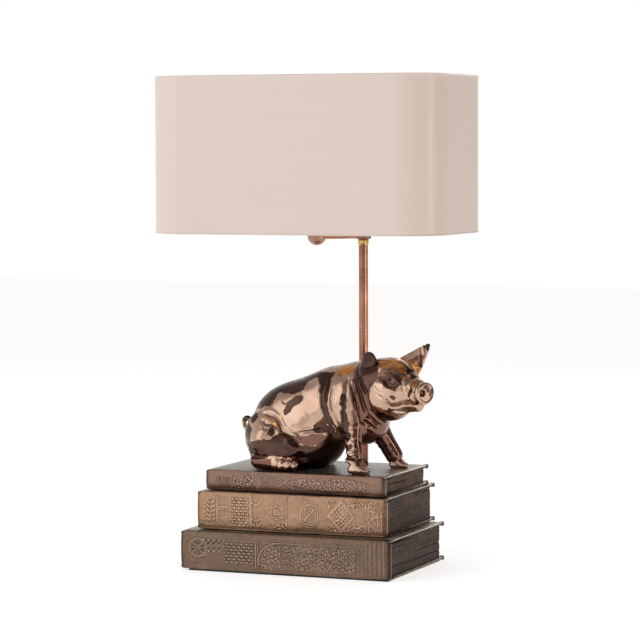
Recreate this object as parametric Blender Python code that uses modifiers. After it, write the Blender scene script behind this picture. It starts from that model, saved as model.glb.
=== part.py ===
"""Table lamp: a seated pig on three stacked books, a bare stem behind it and a rounded rectangular shade.

Metres, +Z up. The origin is on the table, under the axis of the lampholder and shade. The books' spines face -Y
and the pig faces +X.
"""

import math

import bmesh
import bpy
from mathutils import Matrix, Vector

# ---- clearances ----
REST_GAP = 0.0003  # between two pieces that touch
BORE_GAP = 0.00035  # radial, around a shaft, tube or screw
OVERCUT = 0.002  # how far a cutter runs past the face it opens

# ---- felt and base plate ----
FELT_THICKNESS = 0.0015
FELT_INSET = 0.004
PLATE_THICKNESS = 0.002
PLATE_INSET = 0.005

# ---- books: width along X, depth along Y, height, centre and yaw ----
BOTTOM_BOOK = {"width": 0.2474, "depth": 0.1747, "height": 0.0432, "x": 0.0010, "y": -0.0097, "yaw": 0.0}
MIDDLE_BOOK = {"width": 0.2237, "depth": 0.1632, "height": 0.0427, "x": -0.0009, "y": 0.0041, "yaw": 0.76}
TOP_BOOK = {"width": 0.2146, "depth": 0.1373, "height": 0.0225, "x": -0.0007, "y": 0.0055, "yaw": -0.6}
BOARD = 0.003
SPINE = 0.008
PAGE_INSET_END = 0.0025
PAGE_INSET_BACK = 0.008
SPINE_BULGE = 0.0035
BOOK_WALL = 0.010
BOOK_CEILING = 0.0095
BOSS_RADIUS = 0.0080

# ---- screws ----
SHANK_RADIUS = 0.0020
SCREW_HEAD_RADIUS = 0.0042
SCREW_HEAD_HEIGHT = 0.0026
SCREW_BITE = 0.012
PLATE_SCREW_INSET = 0.0165
LOWER_SCREWS = ((-0.080, 0.000), (0.085, -0.005))
UPPER_SCREWS = ((-0.068, -0.030), (0.072, -0.034))
PIG_SCREWS = ((-0.052, 0.004), (-0.016, -0.002))

# ---- cable gland in the back of the bottom book ----
GLAND_X = 0.060
GLAND_RISE = 0.021
GLAND_BORE_RADIUS = 0.004
GLAND_BARREL_RADIUS = 0.0053
GLAND_FLANGE_RADIUS = 0.0085
GLAND_FLANGE = 0.0022

# ---- stem, elbow and ball ----
STEM_X = 0.040
STEM_Y = 0.042
STEM_RADIUS = 0.00525
STEM_WALL = 0.0010
NUT_FLATS_RADIUS = 0.0095
NUT_HEIGHT = 0.005
WASHER_RADIUS = 0.012
WASHER_THICKNESS = 0.0024
COLLAR_RADIUS = 0.0065
COLLAR_HEIGHT = 0.0062
CONNECTOR_RADIUS = 0.0091
CONNECTOR_HEIGHT = 0.0125
ARM_RADIUS = 0.0038
ARM_WALL = 0.0009
ARM_HEIGHT = 0.3745  # of its axis above the table
BALL_RADIUS = 0.0106

# ---- lampholder, heights counted up from the ball's top ----
NIPPLE_RADIUS = 0.0050
NIPPLE_WALL = 0.0013
NIPPLE_IN_CAP = 0.0070
NIPPLE_START = 0.0020  # above the ball's middle
CAP_RADIUS = 0.0150
CAP_FLANGE_RADIUS = 0.0175
CAP_HEIGHT = 0.0255
CAP_WALL = 0.0018
CAP_FLOOR = 0.0055
CAP_FLANGE_HEIGHT = 0.0025
CORE_HEIGHT = 0.0065
BARREL_RADIUS = 0.0140
BARREL_BORE_RADIUS = 0.0114
BARREL_HEIGHT = 0.0225
PUSH_BAR_RADIUS = 0.0020
PUSH_BAR_TRAVEL = 0.004
PUSH_BAR_PROUD = 0.0020  # what still stands out of the side that is pushed in
PUSH_BAR_RISE = 0.0002  # above the core's middle
SPIGOT_HEIGHT = 0.0025  # of the contact insulator inside the barrel
PLUNGER_CLEARANCE = 0.0002
PLUNGER_SPACING = 0.0072
PLUNGER_RADIUS = 0.0019
PLUNGER_LENGTH = 0.0062
SPRING_LENGTH = 0.0050
SPRING_RADIUS = 0.0014
SPRING_WIRE = 0.00022
RING_RADIUS = 0.0210
RING_HEIGHT = 0.0055

# ---- bulb, a bayonet lamp ----
PIN_RADIUS = 0.0010
PIN_SPAN = 0.0270
PIN_RISE = 0.0068
LOCK_TURN = 20.0  # degrees from locked to the slots' way out
BULB_CAP_RADIUS = 0.0110
BULB_CAP_HEIGHT = 0.0250
BULB_RADIUS = 0.0300
BULB_LENGTH = 0.1080
GLASS = 0.0010

# ---- shade ----
SHADE_WIDTH = 0.350
SHADE_DEPTH = 0.187
SHADE_CORNER = 0.048
SHADE_HEIGHT = 0.177
SHADE_BOTTOM = 0.378
SHADE_WALL = 0.0010
FRAME_WIRE = 0.00125
FITTER_RADIUS = 0.0195
FITTER_THICKNESS = 0.0016

# ---- heights that follow ----
BOTTOM_Z = FELT_THICKNESS + REST_GAP
MIDDLE_Z = BOTTOM_Z + BOTTOM_BOOK["height"] + REST_GAP
TOP_Z = MIDDLE_Z + MIDDLE_BOOK["height"] + REST_GAP
BOOKS_TOP = TOP_Z + TOP_BOOK["height"]
PIG_FLOOR = BOOKS_TOP + REST_GAP
BALL_TOP = ARM_HEIGHT + BALL_RADIUS
CAP_Z = BALL_TOP + REST_GAP
CAP_TOP = CAP_Z + CAP_HEIGHT
CORE_Z = CAP_TOP - 0.0140
INSULATOR_Z = CORE_Z + CORE_HEIGHT + REST_GAP
PLUNGER_TIP = CAP_TOP + 0.0055
BULB_Z = PLUNGER_TIP + REST_GAP
FITTER_Z = CAP_TOP + REST_GAP
RING_Z = FITTER_Z + FITTER_THICKNESS + REST_GAP

# ---- the pig: centre x, y, height above the book, then half sizes along x, y, z and a yaw in degrees ----
PIG_MASSES = {
    "rump": ((-0.041, 0.000, 0.030), (0.044, 0.042, 0.040), 0),
    "barrel": ((-0.006, -0.001, 0.053), (0.046, 0.044, 0.051), 0),
    "loin": ((-0.036, -0.001, 0.053), (0.037, 0.037, 0.040), 0),
    "withers": ((0.026, -0.003, 0.074), (0.039, 0.035, 0.042), 0),
    "crest": ((0.054, -0.004, 0.095), (0.024, 0.019, 0.027), 0),
    "chest": ((0.056, -0.004, 0.061), (0.033, 0.031, 0.033), 0),
    "belly": ((-0.006, -0.001, 0.026), (0.033, 0.039, 0.027), 0),
    "near_haunch": ((-0.044, -0.027, 0.036), (0.034, 0.022, 0.034), 0),
    "far_haunch": ((-0.044, 0.027, 0.036), (0.034, 0.021, 0.034), 0),
    "near_ear": ((0.0745, -0.030, 0.113), (0.0115, 0.0042, 0.022), 18),
}
# Chains of points with a radius each, which taper from one to the next.
PIG_LIMBS = {
    "neck": (((0.030, -0.003, 0.076), 0.036), ((0.074, -0.008, 0.092), 0.030)),
    "near_thigh": (((-0.044, -0.031, 0.034), 0.026), ((-0.019, -0.035, 0.028), 0.017)),
    "far_thigh": (((-0.044, 0.030, 0.034), 0.025), ((-0.012, 0.036, 0.026), 0.016)),
    "near_shin": (((-0.016, -0.037, 0.025), 0.014), ((-0.050, -0.040, 0.012), 0.011)),
    "far_shin": (((-0.012, 0.036, 0.025), 0.014), ((-0.044, 0.041, 0.012), 0.011)),
    "near_hind_foot": (
        ((-0.053, -0.041, 0.009), 0.0095),
        ((-0.030, -0.043, 0.009), 0.0085),
        ((-0.012, -0.042, 0.007), 0.0075),
    ),
    "far_hind_foot": (
        ((-0.046, 0.041, 0.009), 0.0095),
        ((-0.014, 0.042, 0.008), 0.0085),
        ((0.004, 0.039, 0.007), 0.0072),
    ),
    "near_foreleg": (
        ((0.055, -0.028, 0.078), 0.016),
        ((0.057, -0.033, 0.054), 0.0130),
        ((0.059, -0.036, 0.034), 0.0095),
        ((0.061, -0.038, 0.018), 0.0108),
    ),
    "near_fore_hoof": (((0.061, -0.038, 0.010), 0.0120), ((0.072, -0.036, 0.0045), 0.0085)),
    "far_foreleg": (
        ((0.056, 0.016, 0.062), 0.016),
        ((0.066, 0.024, 0.043), 0.0120),
        ((0.074, 0.028, 0.027), 0.0088),
        ((0.081, 0.030, 0.014), 0.0095),
    ),
    "far_fore_hoof": (((0.084, 0.030, 0.008), 0.0092), ((0.092, 0.031, 0.0045), 0.0070)),
    "far_ear": (
        ((0.103, 0.008, 0.116), 0.0080),
        ((0.112, 0.015, 0.126), 0.0075),
        ((0.121, 0.021, 0.136), 0.0045),
        ((0.1255, 0.024, 0.1415), 0.0022),
    ),
    "far_ear_front": (((0.1165, 0.0115, 0.1115), 0.0032), ((0.1255, 0.0235, 0.1405), 0.0018)),
    "far_ear_back": (((0.1000, 0.0135, 0.1225), 0.0032), ((0.1255, 0.0235, 0.1405), 0.0018)),
}
# The head has its own frame: forward, towards the far side, and height above the book.
HEAD_PIVOT = (0.060, -0.004)
HEAD_YAW = -20.0
HEAD_MASSES = {
    "skull": ((0.031, 0.000, 0.101), (0.034, 0.028, 0.0270), 0),
    "brow": ((0.045, 0.000, 0.104), (0.025, 0.022, 0.0235), 0),
    "jowls": ((0.041, 0.000, 0.083), (0.027, 0.026, 0.0250), 0),
    "snout_disc": ((0.0895, 0.000, 0.0895), (0.0055, 0.0135, 0.0126), 0),
}
HEAD_LIMBS = {
    "muzzle": (((0.048, 0.000, 0.096), 0.0235), ((0.078, 0.000, 0.0910), 0.0140)),
    "snout": (((0.078, 0.000, 0.0905), 0.0125), ((0.087, 0.000, 0.0895), 0.0108)),
    "jaw": (((0.044, 0.000, 0.084), 0.0210), ((0.076, 0.000, 0.0765), 0.0080), ((0.081, 0.000, 0.0740), 0.0058)),
}
TAIL_CENTRE = (-0.0870, 0.002, 0.047)
TAIL_LOOP = 0.0085
TAIL_RADIUS = 0.0032
TAIL_POINTS = 12
PIG_VOXEL = 0.0030
PIG_SMOOTHING = 5
PIG_KEPT_FACES = 0.16

ROUND = 24  # sides of a turned piece


# ---- scene and materials ----
def clear_scene():
    for obj in list(bpy.data.objects):
        bpy.data.objects.remove(obj, do_unlink=True)


def new_collection(name):
    collection = bpy.data.collections.new(name)
    bpy.context.scene.collection.children.link(collection)
    return collection


clear_scene()
PARTS = new_collection("pig_book_lamp")
CUTTERS = new_collection("cutters")


def material(name, colour, roughness, metallic):
    made = bpy.data.materials.new(name)
    made.use_nodes = True
    shader = made.node_tree.nodes["Principled BSDF"]
    shader.inputs["Base Color"].default_value = (*colour, 1)
    shader.inputs["Roughness"].default_value = roughness
    shader.inputs["Metallic"].default_value = metallic
    made.diffuse_color = (*colour, 1)
    return made


POLISHED_BRONZE = material("polished_bronze", (0.46, 0.28, 0.18), 0.15, 1)
AGED_BRONZE = material("aged_bronze", (0.24, 0.16, 0.11), 0.45, 0.8)
COPPER = material("brushed_copper", (0.55, 0.28, 0.17), 0.25, 1)
BRASS = material("brass", (0.78, 0.57, 0.28), 0.25, 1)
STEEL = material("zinc_steel", (0.55, 0.55, 0.56), 0.4, 1)
FELT = material("felt", (0.05, 0.05, 0.055), 0.95, 0)
NYLON = material("black_nylon", (0.03, 0.03, 0.03), 0.5, 0)
PORCELAIN = material("white_insulator", (0.82, 0.81, 0.78), 0.4, 0)
WIRE_WHITE = material("white_frame_wire", (0.85, 0.84, 0.82), 0.4, 0)
SILK = material("pale_silk", (0.80, 0.68, 0.61), 0.7, 0)
OPAL = material("opal_glass", (0.93, 0.92, 0.90), 0.3, 0)


# ---- mesh and object helpers ----
def mesh_from(build):
    """A mesh filled by build(bmesh)."""
    shape = bmesh.new()
    build(shape)
    mesh = bpy.data.meshes.new("shape")
    shape.to_mesh(mesh)
    shape.free()
    return mesh


def add_part(name, mesh, surface, smooth_below=35):
    mesh.name = name
    obj = bpy.data.objects.new(name, mesh)
    obj.data.materials.clear()
    obj.data.materials.append(surface)
    PARTS.objects.link(obj)
    if smooth_below:
        mesh.shade_smooth()
        mesh.set_sharp_from_angle(angle=math.radians(smooth_below))
    return obj


def add_cutter(name, mesh):
    obj = bpy.data.objects.new(name, mesh)
    obj.hide_render = True
    obj.display_type = "WIRE"
    CUTTERS.objects.link(obj)
    return obj


def combine(obj, other, operation):
    modifier = obj.modifiers.new(operation.lower() + "_" + other.name, "BOOLEAN")
    modifier.operation = operation
    modifier.object = other
    modifier.solver = "EXACT"
    return modifier


def cut(obj, *cutters):
    for cutter in cutters:
        combine(obj, cutter, "DIFFERENCE")


def box_mesh(low, high):
    low, high = Vector(low), Vector(high)
    size = high - low
    place = Matrix.Translation((low + high) / 2) @ Matrix.Diagonal((*size, 1))
    return mesh_from(lambda shape: bmesh.ops.create_cube(shape, size=1, matrix=place))


def rod_mesh(start, end, radius, sides=ROUND):
    """A cylinder between two points."""
    start, end = Vector(start), Vector(end)
    run = end - start
    turn = Vector((0, 0, 1)).rotation_difference(run).to_matrix().to_4x4()
    place = Matrix.Translation((start + end) / 2) @ turn
    return mesh_from(
        lambda shape: bmesh.ops.create_cone(
            shape, cap_ends=True, segments=sides, radius1=radius, radius2=radius, depth=run.length, matrix=place
        )
    )


def turned(name, profile, surface, at=(0, 0), sides=ROUND, closed=False):
    """Turns (radius, height) points about a vertical axis at (x, y).

    The points run down the outer side. A closed profile is a ring; an open one starts and ends on the axis.
    """
    mesh = bpy.data.meshes.new(name)
    points = [(radius, 0, height) for radius, height in profile]
    edges = [(i, i + 1) for i in range(len(points) - 1)]
    if closed:
        edges.append((len(points) - 1, 0))
    mesh.from_pydata(points, edges, [])
    obj = add_part(name, mesh, surface, smooth_below=0)
    obj.location = (*at, 0)
    screw = obj.modifiers.new("turn", "SCREW")
    screw.steps = sides
    screw.render_steps = sides
    screw.use_merge_vertices = True
    screw.merge_threshold = 0.00002
    screw.use_smooth_shade = True
    return obj


def curve_of(name, points, radius, cyclic=False, resolution=2):
    curve = bpy.data.curves.new(name, "CURVE")
    curve.dimensions = "3D"
    curve.bevel_depth = radius
    curve.bevel_resolution = resolution
    curve.use_fill_caps = not cyclic
    spline = curve.splines.new("POLY")
    spline.points.add(len(points) - 1)
    spline.use_cyclic_u = cyclic
    for point, place in zip(spline.points, points):
        point.co = (*place, 1)
    return curve


def mesh_of(curve):
    """The curve's evaluated shape as a closed mesh, with its caps welded on."""
    carrier = bpy.data.objects.new("carrier", curve)
    bpy.context.scene.collection.objects.link(carrier)
    bpy.context.view_layer.update()
    mesh = bpy.data.meshes.new_from_object(carrier.evaluated_get(bpy.context.evaluated_depsgraph_get()))
    bpy.data.objects.remove(carrier)
    shape = bmesh.new()
    shape.from_mesh(mesh)
    bmesh.ops.remove_doubles(shape, verts=shape.verts, dist=0.000001)
    bmesh.ops.recalc_face_normals(shape, faces=shape.faces)
    shape.to_mesh(mesh)
    shape.free()
    return mesh


def outline_mesh(points, low, high):
    """A flat outline in XY, as (x, y) points, filled between the heights low and high."""
    curve = bpy.data.curves.new("outline", "CURVE")
    curve.dimensions = "2D"
    curve.fill_mode = "BOTH"
    curve.extrude = (high - low) / 2
    spline = curve.splines.new("POLY")
    spline.points.add(len(points) - 1)
    spline.use_cyclic_u = True
    for point, (x, y) in zip(spline.points, points):
        point.co = (x, y, 0, 1)
    mesh = mesh_of(curve)
    mesh.transform(Matrix.Translation((0, 0, (low + high) / 2)))
    return mesh


def rounded_rectangle(width, depth, corner, steps):
    """(x, y) points around a rectangle with round corners, anticlockwise from the +X side."""
    points = []
    for quarter, (sx, sy) in enumerate(((1, 1), (-1, 1), (-1, -1), (1, -1))):
        cx, cy = sx * (width / 2 - corner), sy * (depth / 2 - corner)
        for step in range(steps + 1):
            angle = math.radians(90) * (quarter + step / steps)
            points.append((cx + corner * math.cos(angle), cy + corner * math.sin(angle)))
    return points


# ---- screws ----
def screw(name, at, head_base, length):
    """A pan head screw that points up, with its head's underside at head_base."""
    top = head_base + SCREW_HEAD_HEIGHT + length
    profile = (
        (0, top),
        (SHANK_RADIUS * 0.6, top),
        (SHANK_RADIUS, top - 0.0012),
        (SHANK_RADIUS, head_base + SCREW_HEAD_HEIGHT),
        (SCREW_HEAD_RADIUS, head_base + SCREW_HEAD_HEIGHT),
        (SCREW_HEAD_RADIUS, head_base + 0.0010),
        (SCREW_HEAD_RADIUS - 0.0010, head_base),
        (0, head_base),
    )
    return turned(name, profile, STEEL, at, sides=16)


def screw_hole(name, at, low, high):
    return add_cutter(name, rod_mesh((*at, low), (*at, high), SHANK_RADIUS + BORE_GAP, sides=16))


# ---- books ----
def book_edges(book):
    """x0, x1, y0, y1 of a book before its yaw."""
    half_width, half_depth = book["width"] / 2, book["depth"] / 2
    return book["x"] - half_width, book["x"] + half_width, book["y"] - half_depth, book["y"] + half_depth


def spine_profile(book):
    """The book's section as (y, z) points about its centre: square at the back, a shallow arc at the spine."""
    half_depth, half_height = book["depth"] / 2, book["height"] / 2
    points = [(half_depth, -half_height), (half_depth, half_height)]
    steps = 8
    for step in range(steps + 1):
        height = half_height * math.cos(math.pi * step / steps)
        bulge = SPINE_BULGE * math.sqrt(max(0.0, 1 - (height / half_height) ** 2))
        points.append((-half_depth + SPINE_BULGE - bulge, height))
    return points


def book_body(name, book, base):
    """Covers and spine with the page block set back between the boards on three sides."""
    height = book["height"]
    mesh = outline_mesh(spine_profile(book), -book["width"] / 2, book["width"] / 2)
    # The outline's x, y and z become the book's y, z and x.
    mesh.transform(Matrix(((0, 0, 1, 0), (1, 0, 0, 0), (0, 1, 0, 0), (0, 0, 0, 1))))
    body = add_part(name, mesh, AGED_BRONZE)
    half_width, half_depth = book["width"] / 2, book["depth"] / 2
    page_x, page_y = half_width - PAGE_INSET_END, half_depth - PAGE_INSET_BACK
    front = -half_depth + SPINE
    past_x, past_y = half_width + OVERCUT, half_depth + OVERCUT
    recess = outline_mesh(
        (
            (page_x, front),
            (past_x, front),
            (past_x, past_y),
            (-past_x, past_y),
            (-past_x, front),
            (-page_x, front),
            (-page_x, page_y),
            (page_x, page_y),
        ),
        -height / 2 + BOARD,
        height / 2 - BOARD,
    )
    recess_cutter = add_cutter(name + "_page_recess", recess)
    for piece in (body, recess_cutter):
        piece.location = (book["x"], book["y"], base + height / 2)
        piece.rotation_euler.z = math.radians(book["yaw"])
    cut(body, recess_cutter)
    return body


def hollow(book_object, name, book, base, bosses):
    """Opens the book from below, down to its walls and ceiling, and leaves round bosses for screws."""
    x0, x1, y0, y1 = book_edges(book)
    cavity = add_cutter(
        name + "_cavity",
        box_mesh(
            (x0 + BOOK_WALL + PAGE_INSET_END, y0 + BOOK_WALL, base - OVERCUT),
            (x1 - BOOK_WALL - PAGE_INSET_END, y1 - BOOK_WALL - PAGE_INSET_BACK, base + book["height"] - BOOK_CEILING),
        ),
    )
    for number, at in enumerate(bosses, 1):
        post = rod_mesh((*at, base - 2 * OVERCUT), (*at, base + book["height"]), BOSS_RADIUS, sides=20)
        cut(cavity, add_cutter(f"{name}_boss_{number}", post))
    cut(book_object, cavity)


def plate_screw_places():
    x0, x1, y0, y1 = book_edges(BOTTOM_BOOK)
    inset = PLATE_SCREW_INSET
    near, far = y0 + inset, y1 - PAGE_INSET_BACK - inset
    return ((x0 + inset, near), (x1 - inset, near), (x0 + inset, far), (x1 - inset, far))


def make_books():
    bottom_ceiling = BOTTOM_Z + BOTTOM_BOOK["height"] - BOOK_CEILING
    middle_ceiling = MIDDLE_Z + MIDDLE_BOOK["height"] - BOOK_CEILING
    top_ceiling = TOP_Z + TOP_BOOK["height"] - BOOK_CEILING
    bottom = book_body("book_bottom", BOTTOM_BOOK, BOTTOM_Z)
    middle = book_body("book_middle", MIDDLE_BOOK, MIDDLE_Z)
    top = book_body("book_top", TOP_BOOK, TOP_Z)
    hollow(bottom, "book_bottom", BOTTOM_BOOK, BOTTOM_Z, plate_screw_places())
    hollow(middle, "book_middle", MIDDLE_BOOK, MIDDLE_Z, LOWER_SCREWS)
    hollow(top, "book_top", TOP_BOOK, TOP_Z, UPPER_SCREWS)

    # Base plate in a rebate under the bottom book, held by four screws in the corner bosses.
    x0, x1, y0, y1 = book_edges(BOTTOM_BOOK)
    inset = PLATE_INSET
    plate_low = (x0 + inset, y0 + inset, BOTTOM_Z)
    plate_high = (x1 - inset, y1 - PAGE_INSET_BACK, BOTTOM_Z + PLATE_THICKNESS)
    rebate = box_mesh(
        (plate_low[0] - REST_GAP, plate_low[1] - REST_GAP, BOTTOM_Z - OVERCUT),
        (plate_high[0] + REST_GAP, plate_high[1] + REST_GAP, plate_high[2] + REST_GAP),
    )
    cut(bottom, add_cutter("base_plate_rebate", rebate))
    plate = add_part("base_plate", box_mesh(plate_low, plate_high), STEEL)
    for number, at in enumerate(plate_screw_places(), 1):
        # Flat heads, flush with the plate's underside.
        head_top = BOTTOM_Z + PLATE_THICKNESS
        tip = head_top + SCREW_BITE
        profile = (
            (0, tip),
            (SHANK_RADIUS, tip - 0.0012),
            (SHANK_RADIUS, head_top),
            (SCREW_HEAD_RADIUS, BOTTOM_Z),
            (0, BOTTOM_Z),
        )
        turned(f"base_plate_screw_{number}", profile, STEEL, at, sides=16)
        seat_profile = (
            (0, head_top + OVERCUT),
            (SHANK_RADIUS + BORE_GAP, head_top + OVERCUT),
            (SHANK_RADIUS + BORE_GAP, head_top),
            (SCREW_HEAD_RADIUS + BORE_GAP, BOTTOM_Z),
            (SCREW_HEAD_RADIUS + BORE_GAP, BOTTOM_Z - OVERCUT),
            (0, BOTTOM_Z - OVERCUT),
        )
        seat = turned(f"base_plate_seat_{number}", seat_profile, STEEL, at, sides=16)
        PARTS.objects.unlink(seat)
        CUTTERS.objects.link(seat)
        seat.hide_render = True
        seat.display_type = "WIRE"
        cut(plate, seat)
        cut(bottom, screw_hole(f"base_plate_pilot_{number}", at, BOTTOM_Z, tip + REST_GAP))

    x0, x1, y0, y1 = book_edges(BOTTOM_BOOK)
    inset = FELT_INSET
    add_part("felt_pad", box_mesh((x0 + inset, y0 + inset, 0), (x1 - inset, y1 - inset, FELT_THICKNESS)), FELT)

    # Screws up through each ceiling into the bosses or the pig above.
    groups = (
        ("book_screw_lower", LOWER_SCREWS, bottom_ceiling, bottom, middle),
        ("book_screw_upper", UPPER_SCREWS, middle_ceiling, middle, top),
    )
    for name, places, ceiling, lower, upper in groups:
        for number, at in enumerate(places, 1):
            head_base = ceiling - REST_GAP - SCREW_HEAD_HEIGHT
            length = BOOK_CEILING + SCREW_BITE
            screw(f"{name}_{number}", at, head_base, length)
            hole = screw_hole(f"{name}_hole_{number}", at, ceiling - OVERCUT, ceiling + length + REST_GAP)
            cut(lower, hole)
            cut(upper, hole)
    pig_holes = []
    for number, at in enumerate(PIG_SCREWS, 1):
        length = BOOK_CEILING + SCREW_BITE
        screw(f"pig_screw_{number}", at, top_ceiling - REST_GAP - SCREW_HEAD_HEIGHT, length)
        hole = screw_hole(f"pig_screw_hole_{number}", at, top_ceiling - OVERCUT, top_ceiling + length + REST_GAP)
        cut(top, hole)
        pig_holes.append(hole)

    stem_hole = rod_mesh(
        (STEM_X, STEM_Y, BOTTOM_Z + BOOK_WALL), (STEM_X, STEM_Y, BOOKS_TOP + OVERCUT), STEM_RADIUS + BORE_GAP
    )
    stem_cutter = add_cutter("stem_hole", stem_hole)
    for book in (bottom, middle, top):
        cut(book, stem_cutter)
    return bottom, pig_holes


def make_gland(bottom_book):
    page_face = book_edges(BOTTOM_BOOK)[3] - PAGE_INSET_BACK
    height = BOTTOM_Z + GLAND_RISE
    outer = page_face + REST_GAP + GLAND_FLANGE
    inner = page_face - BOOK_WALL - 0.003
    # Turned about a vertical axis, outer end up, then laid along +Y.
    profile = (
        (GLAND_BORE_RADIUS, GLAND_FLANGE),
        (GLAND_FLANGE_RADIUS - 0.0006, GLAND_FLANGE),
        (GLAND_FLANGE_RADIUS, GLAND_FLANGE - 0.0006),
        (GLAND_FLANGE_RADIUS, 0),
        (GLAND_BARREL_RADIUS, 0),
        (GLAND_BARREL_RADIUS, inner - outer + GLAND_FLANGE),
        (GLAND_BORE_RADIUS, inner - outer + GLAND_FLANGE),
    )
    gland = turned("cable_gland", profile, NYLON, sides=24, closed=True)
    gland.rotation_euler.x = math.radians(-90)
    gland.location = (GLAND_X, outer - GLAND_FLANGE, height)
    hole = rod_mesh(
        (GLAND_X, inner - OVERCUT, height),
        (GLAND_X, page_face + OVERCUT, height),
        GLAND_BARREL_RADIUS + BORE_GAP,
        sides=24,
    )
    cut(bottom_book, add_cutter("gland_hole", hole))


# ---- stem, elbow, arm and ball ----
def make_stem():
    at = (STEM_X, STEM_Y)
    ceiling = BOTTOM_Z + BOTTOM_BOOK["height"] - BOOK_CEILING
    washer_top = ceiling - REST_GAP
    washer_base = washer_top - WASHER_THICKNESS
    nut_top = washer_base - REST_GAP
    nut_base = nut_top - NUT_HEIGHT
    stem_base = nut_base - 0.004
    connector_base = ARM_HEIGHT - ARM_RADIUS - 0.0006
    stem_top = connector_base + 0.0004
    bore = STEM_RADIUS - STEM_WALL
    turned(
        "stem_tube",
        ((bore, stem_top), (STEM_RADIUS, stem_top), (STEM_RADIUS, stem_base), (bore, stem_base)),
        COPPER,
        at,
        closed=True,
    )
    inner = STEM_RADIUS + BORE_GAP
    turned(
        "stem_washer",
        ((inner, washer_top), (WASHER_RADIUS, washer_top), (WASHER_RADIUS, washer_base), (inner, washer_base)),
        STEEL,
        at,
        closed=True,
    )
    nut = add_part("stem_nut", rod_mesh((*at, nut_base), (*at, nut_top), NUT_FLATS_RADIUS, sides=6), STEEL)
    cut(nut, add_cutter("stem_nut_bore", rod_mesh((*at, nut_base - OVERCUT), (*at, nut_top + OVERCUT), inner)))

    collar_top = connector_base - REST_GAP
    collar_base = collar_top - COLLAR_HEIGHT
    turned(
        "stem_collar",
        (
            (inner, collar_top),
            (COLLAR_RADIUS - 0.0005, collar_top),
            (COLLAR_RADIUS, collar_top - 0.0006),
            (COLLAR_RADIUS, collar_base + 0.0006),
            (COLLAR_RADIUS - 0.0005, collar_base),
            (inner, collar_base),
        ),
        BRASS,
        at,
        closed=True,
    )

    # The elbow: a short cone under a drum with a domed top.
    drum_base = connector_base + 0.0022
    connector_top = connector_base + CONNECTOR_HEIGHT
    dome = []
    dome_steps = 6
    dome_height = 0.0028
    for step in range(dome_steps + 1):
        angle = math.radians(90) * step / dome_steps
        dome.append((CONNECTOR_RADIUS * math.sin(angle), connector_top - dome_height * (1 - math.cos(angle))))
    profile = dome + [
        (CONNECTOR_RADIUS, drum_base),
        (COLLAR_RADIUS + 0.0002, connector_base),
        (0, connector_base),
    ]
    connector = turned("arm_connector", profile, COPPER, at)
    stem_seat = rod_mesh((*at, connector_base - OVERCUT), (*at, stem_top + REST_GAP), inner)
    chamber = rod_mesh((*at, connector_base - OVERCUT), (*at, connector_top - dome_height), bore)
    cut(connector, add_cutter("stem_seat", stem_seat), add_cutter("connector_chamber", chamber))

    # The arm runs level from the elbow to the ball under the lampholder.
    towards_ball = Vector((-STEM_X, -STEM_Y, 0)).normalized()
    stem_axis = Vector((STEM_X, STEM_Y, ARM_HEIGHT))
    ball_axis = Vector((0, 0, ARM_HEIGHT))
    arm_start = stem_axis + towards_ball * (STEM_RADIUS + 0.0012)
    arm_end = ball_axis - towards_ball * (NIPPLE_RADIUS + 0.0006)
    arm = add_part("arm_tube", rod_mesh(arm_start, arm_end, ARM_RADIUS), COPPER)
    arm_bore = rod_mesh(
        arm_start - towards_ball * OVERCUT, arm_end + towards_ball * OVERCUT, ARM_RADIUS - ARM_WALL, sides=20
    )
    cut(arm, add_cutter("arm_bore", arm_bore))
    socket = rod_mesh(stem_axis, arm_start + towards_ball * CONNECTOR_RADIUS, ARM_RADIUS + BORE_GAP)
    cut(connector, add_cutter("connector_socket", socket))

    ball_mesh = mesh_from(
        lambda shape: bmesh.ops.create_uvsphere(
            shape, u_segments=ROUND, v_segments=12, radius=BALL_RADIUS, matrix=Matrix.Translation(ball_axis)
        )
    )
    ball = add_part("ball_elbow", ball_mesh, COPPER)
    ball_socket = rod_mesh(ball_axis, arm_end - towards_ball * 2 * BALL_RADIUS, ARM_RADIUS + BORE_GAP)
    nipple_seat = rod_mesh(
        ball_axis, ball_axis + Vector((0, 0, BALL_RADIUS + OVERCUT)), NIPPLE_RADIUS + BORE_GAP
    )
    cut(ball, add_cutter("ball_socket", ball_socket), add_cutter("nipple_seat", nipple_seat))


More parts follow.
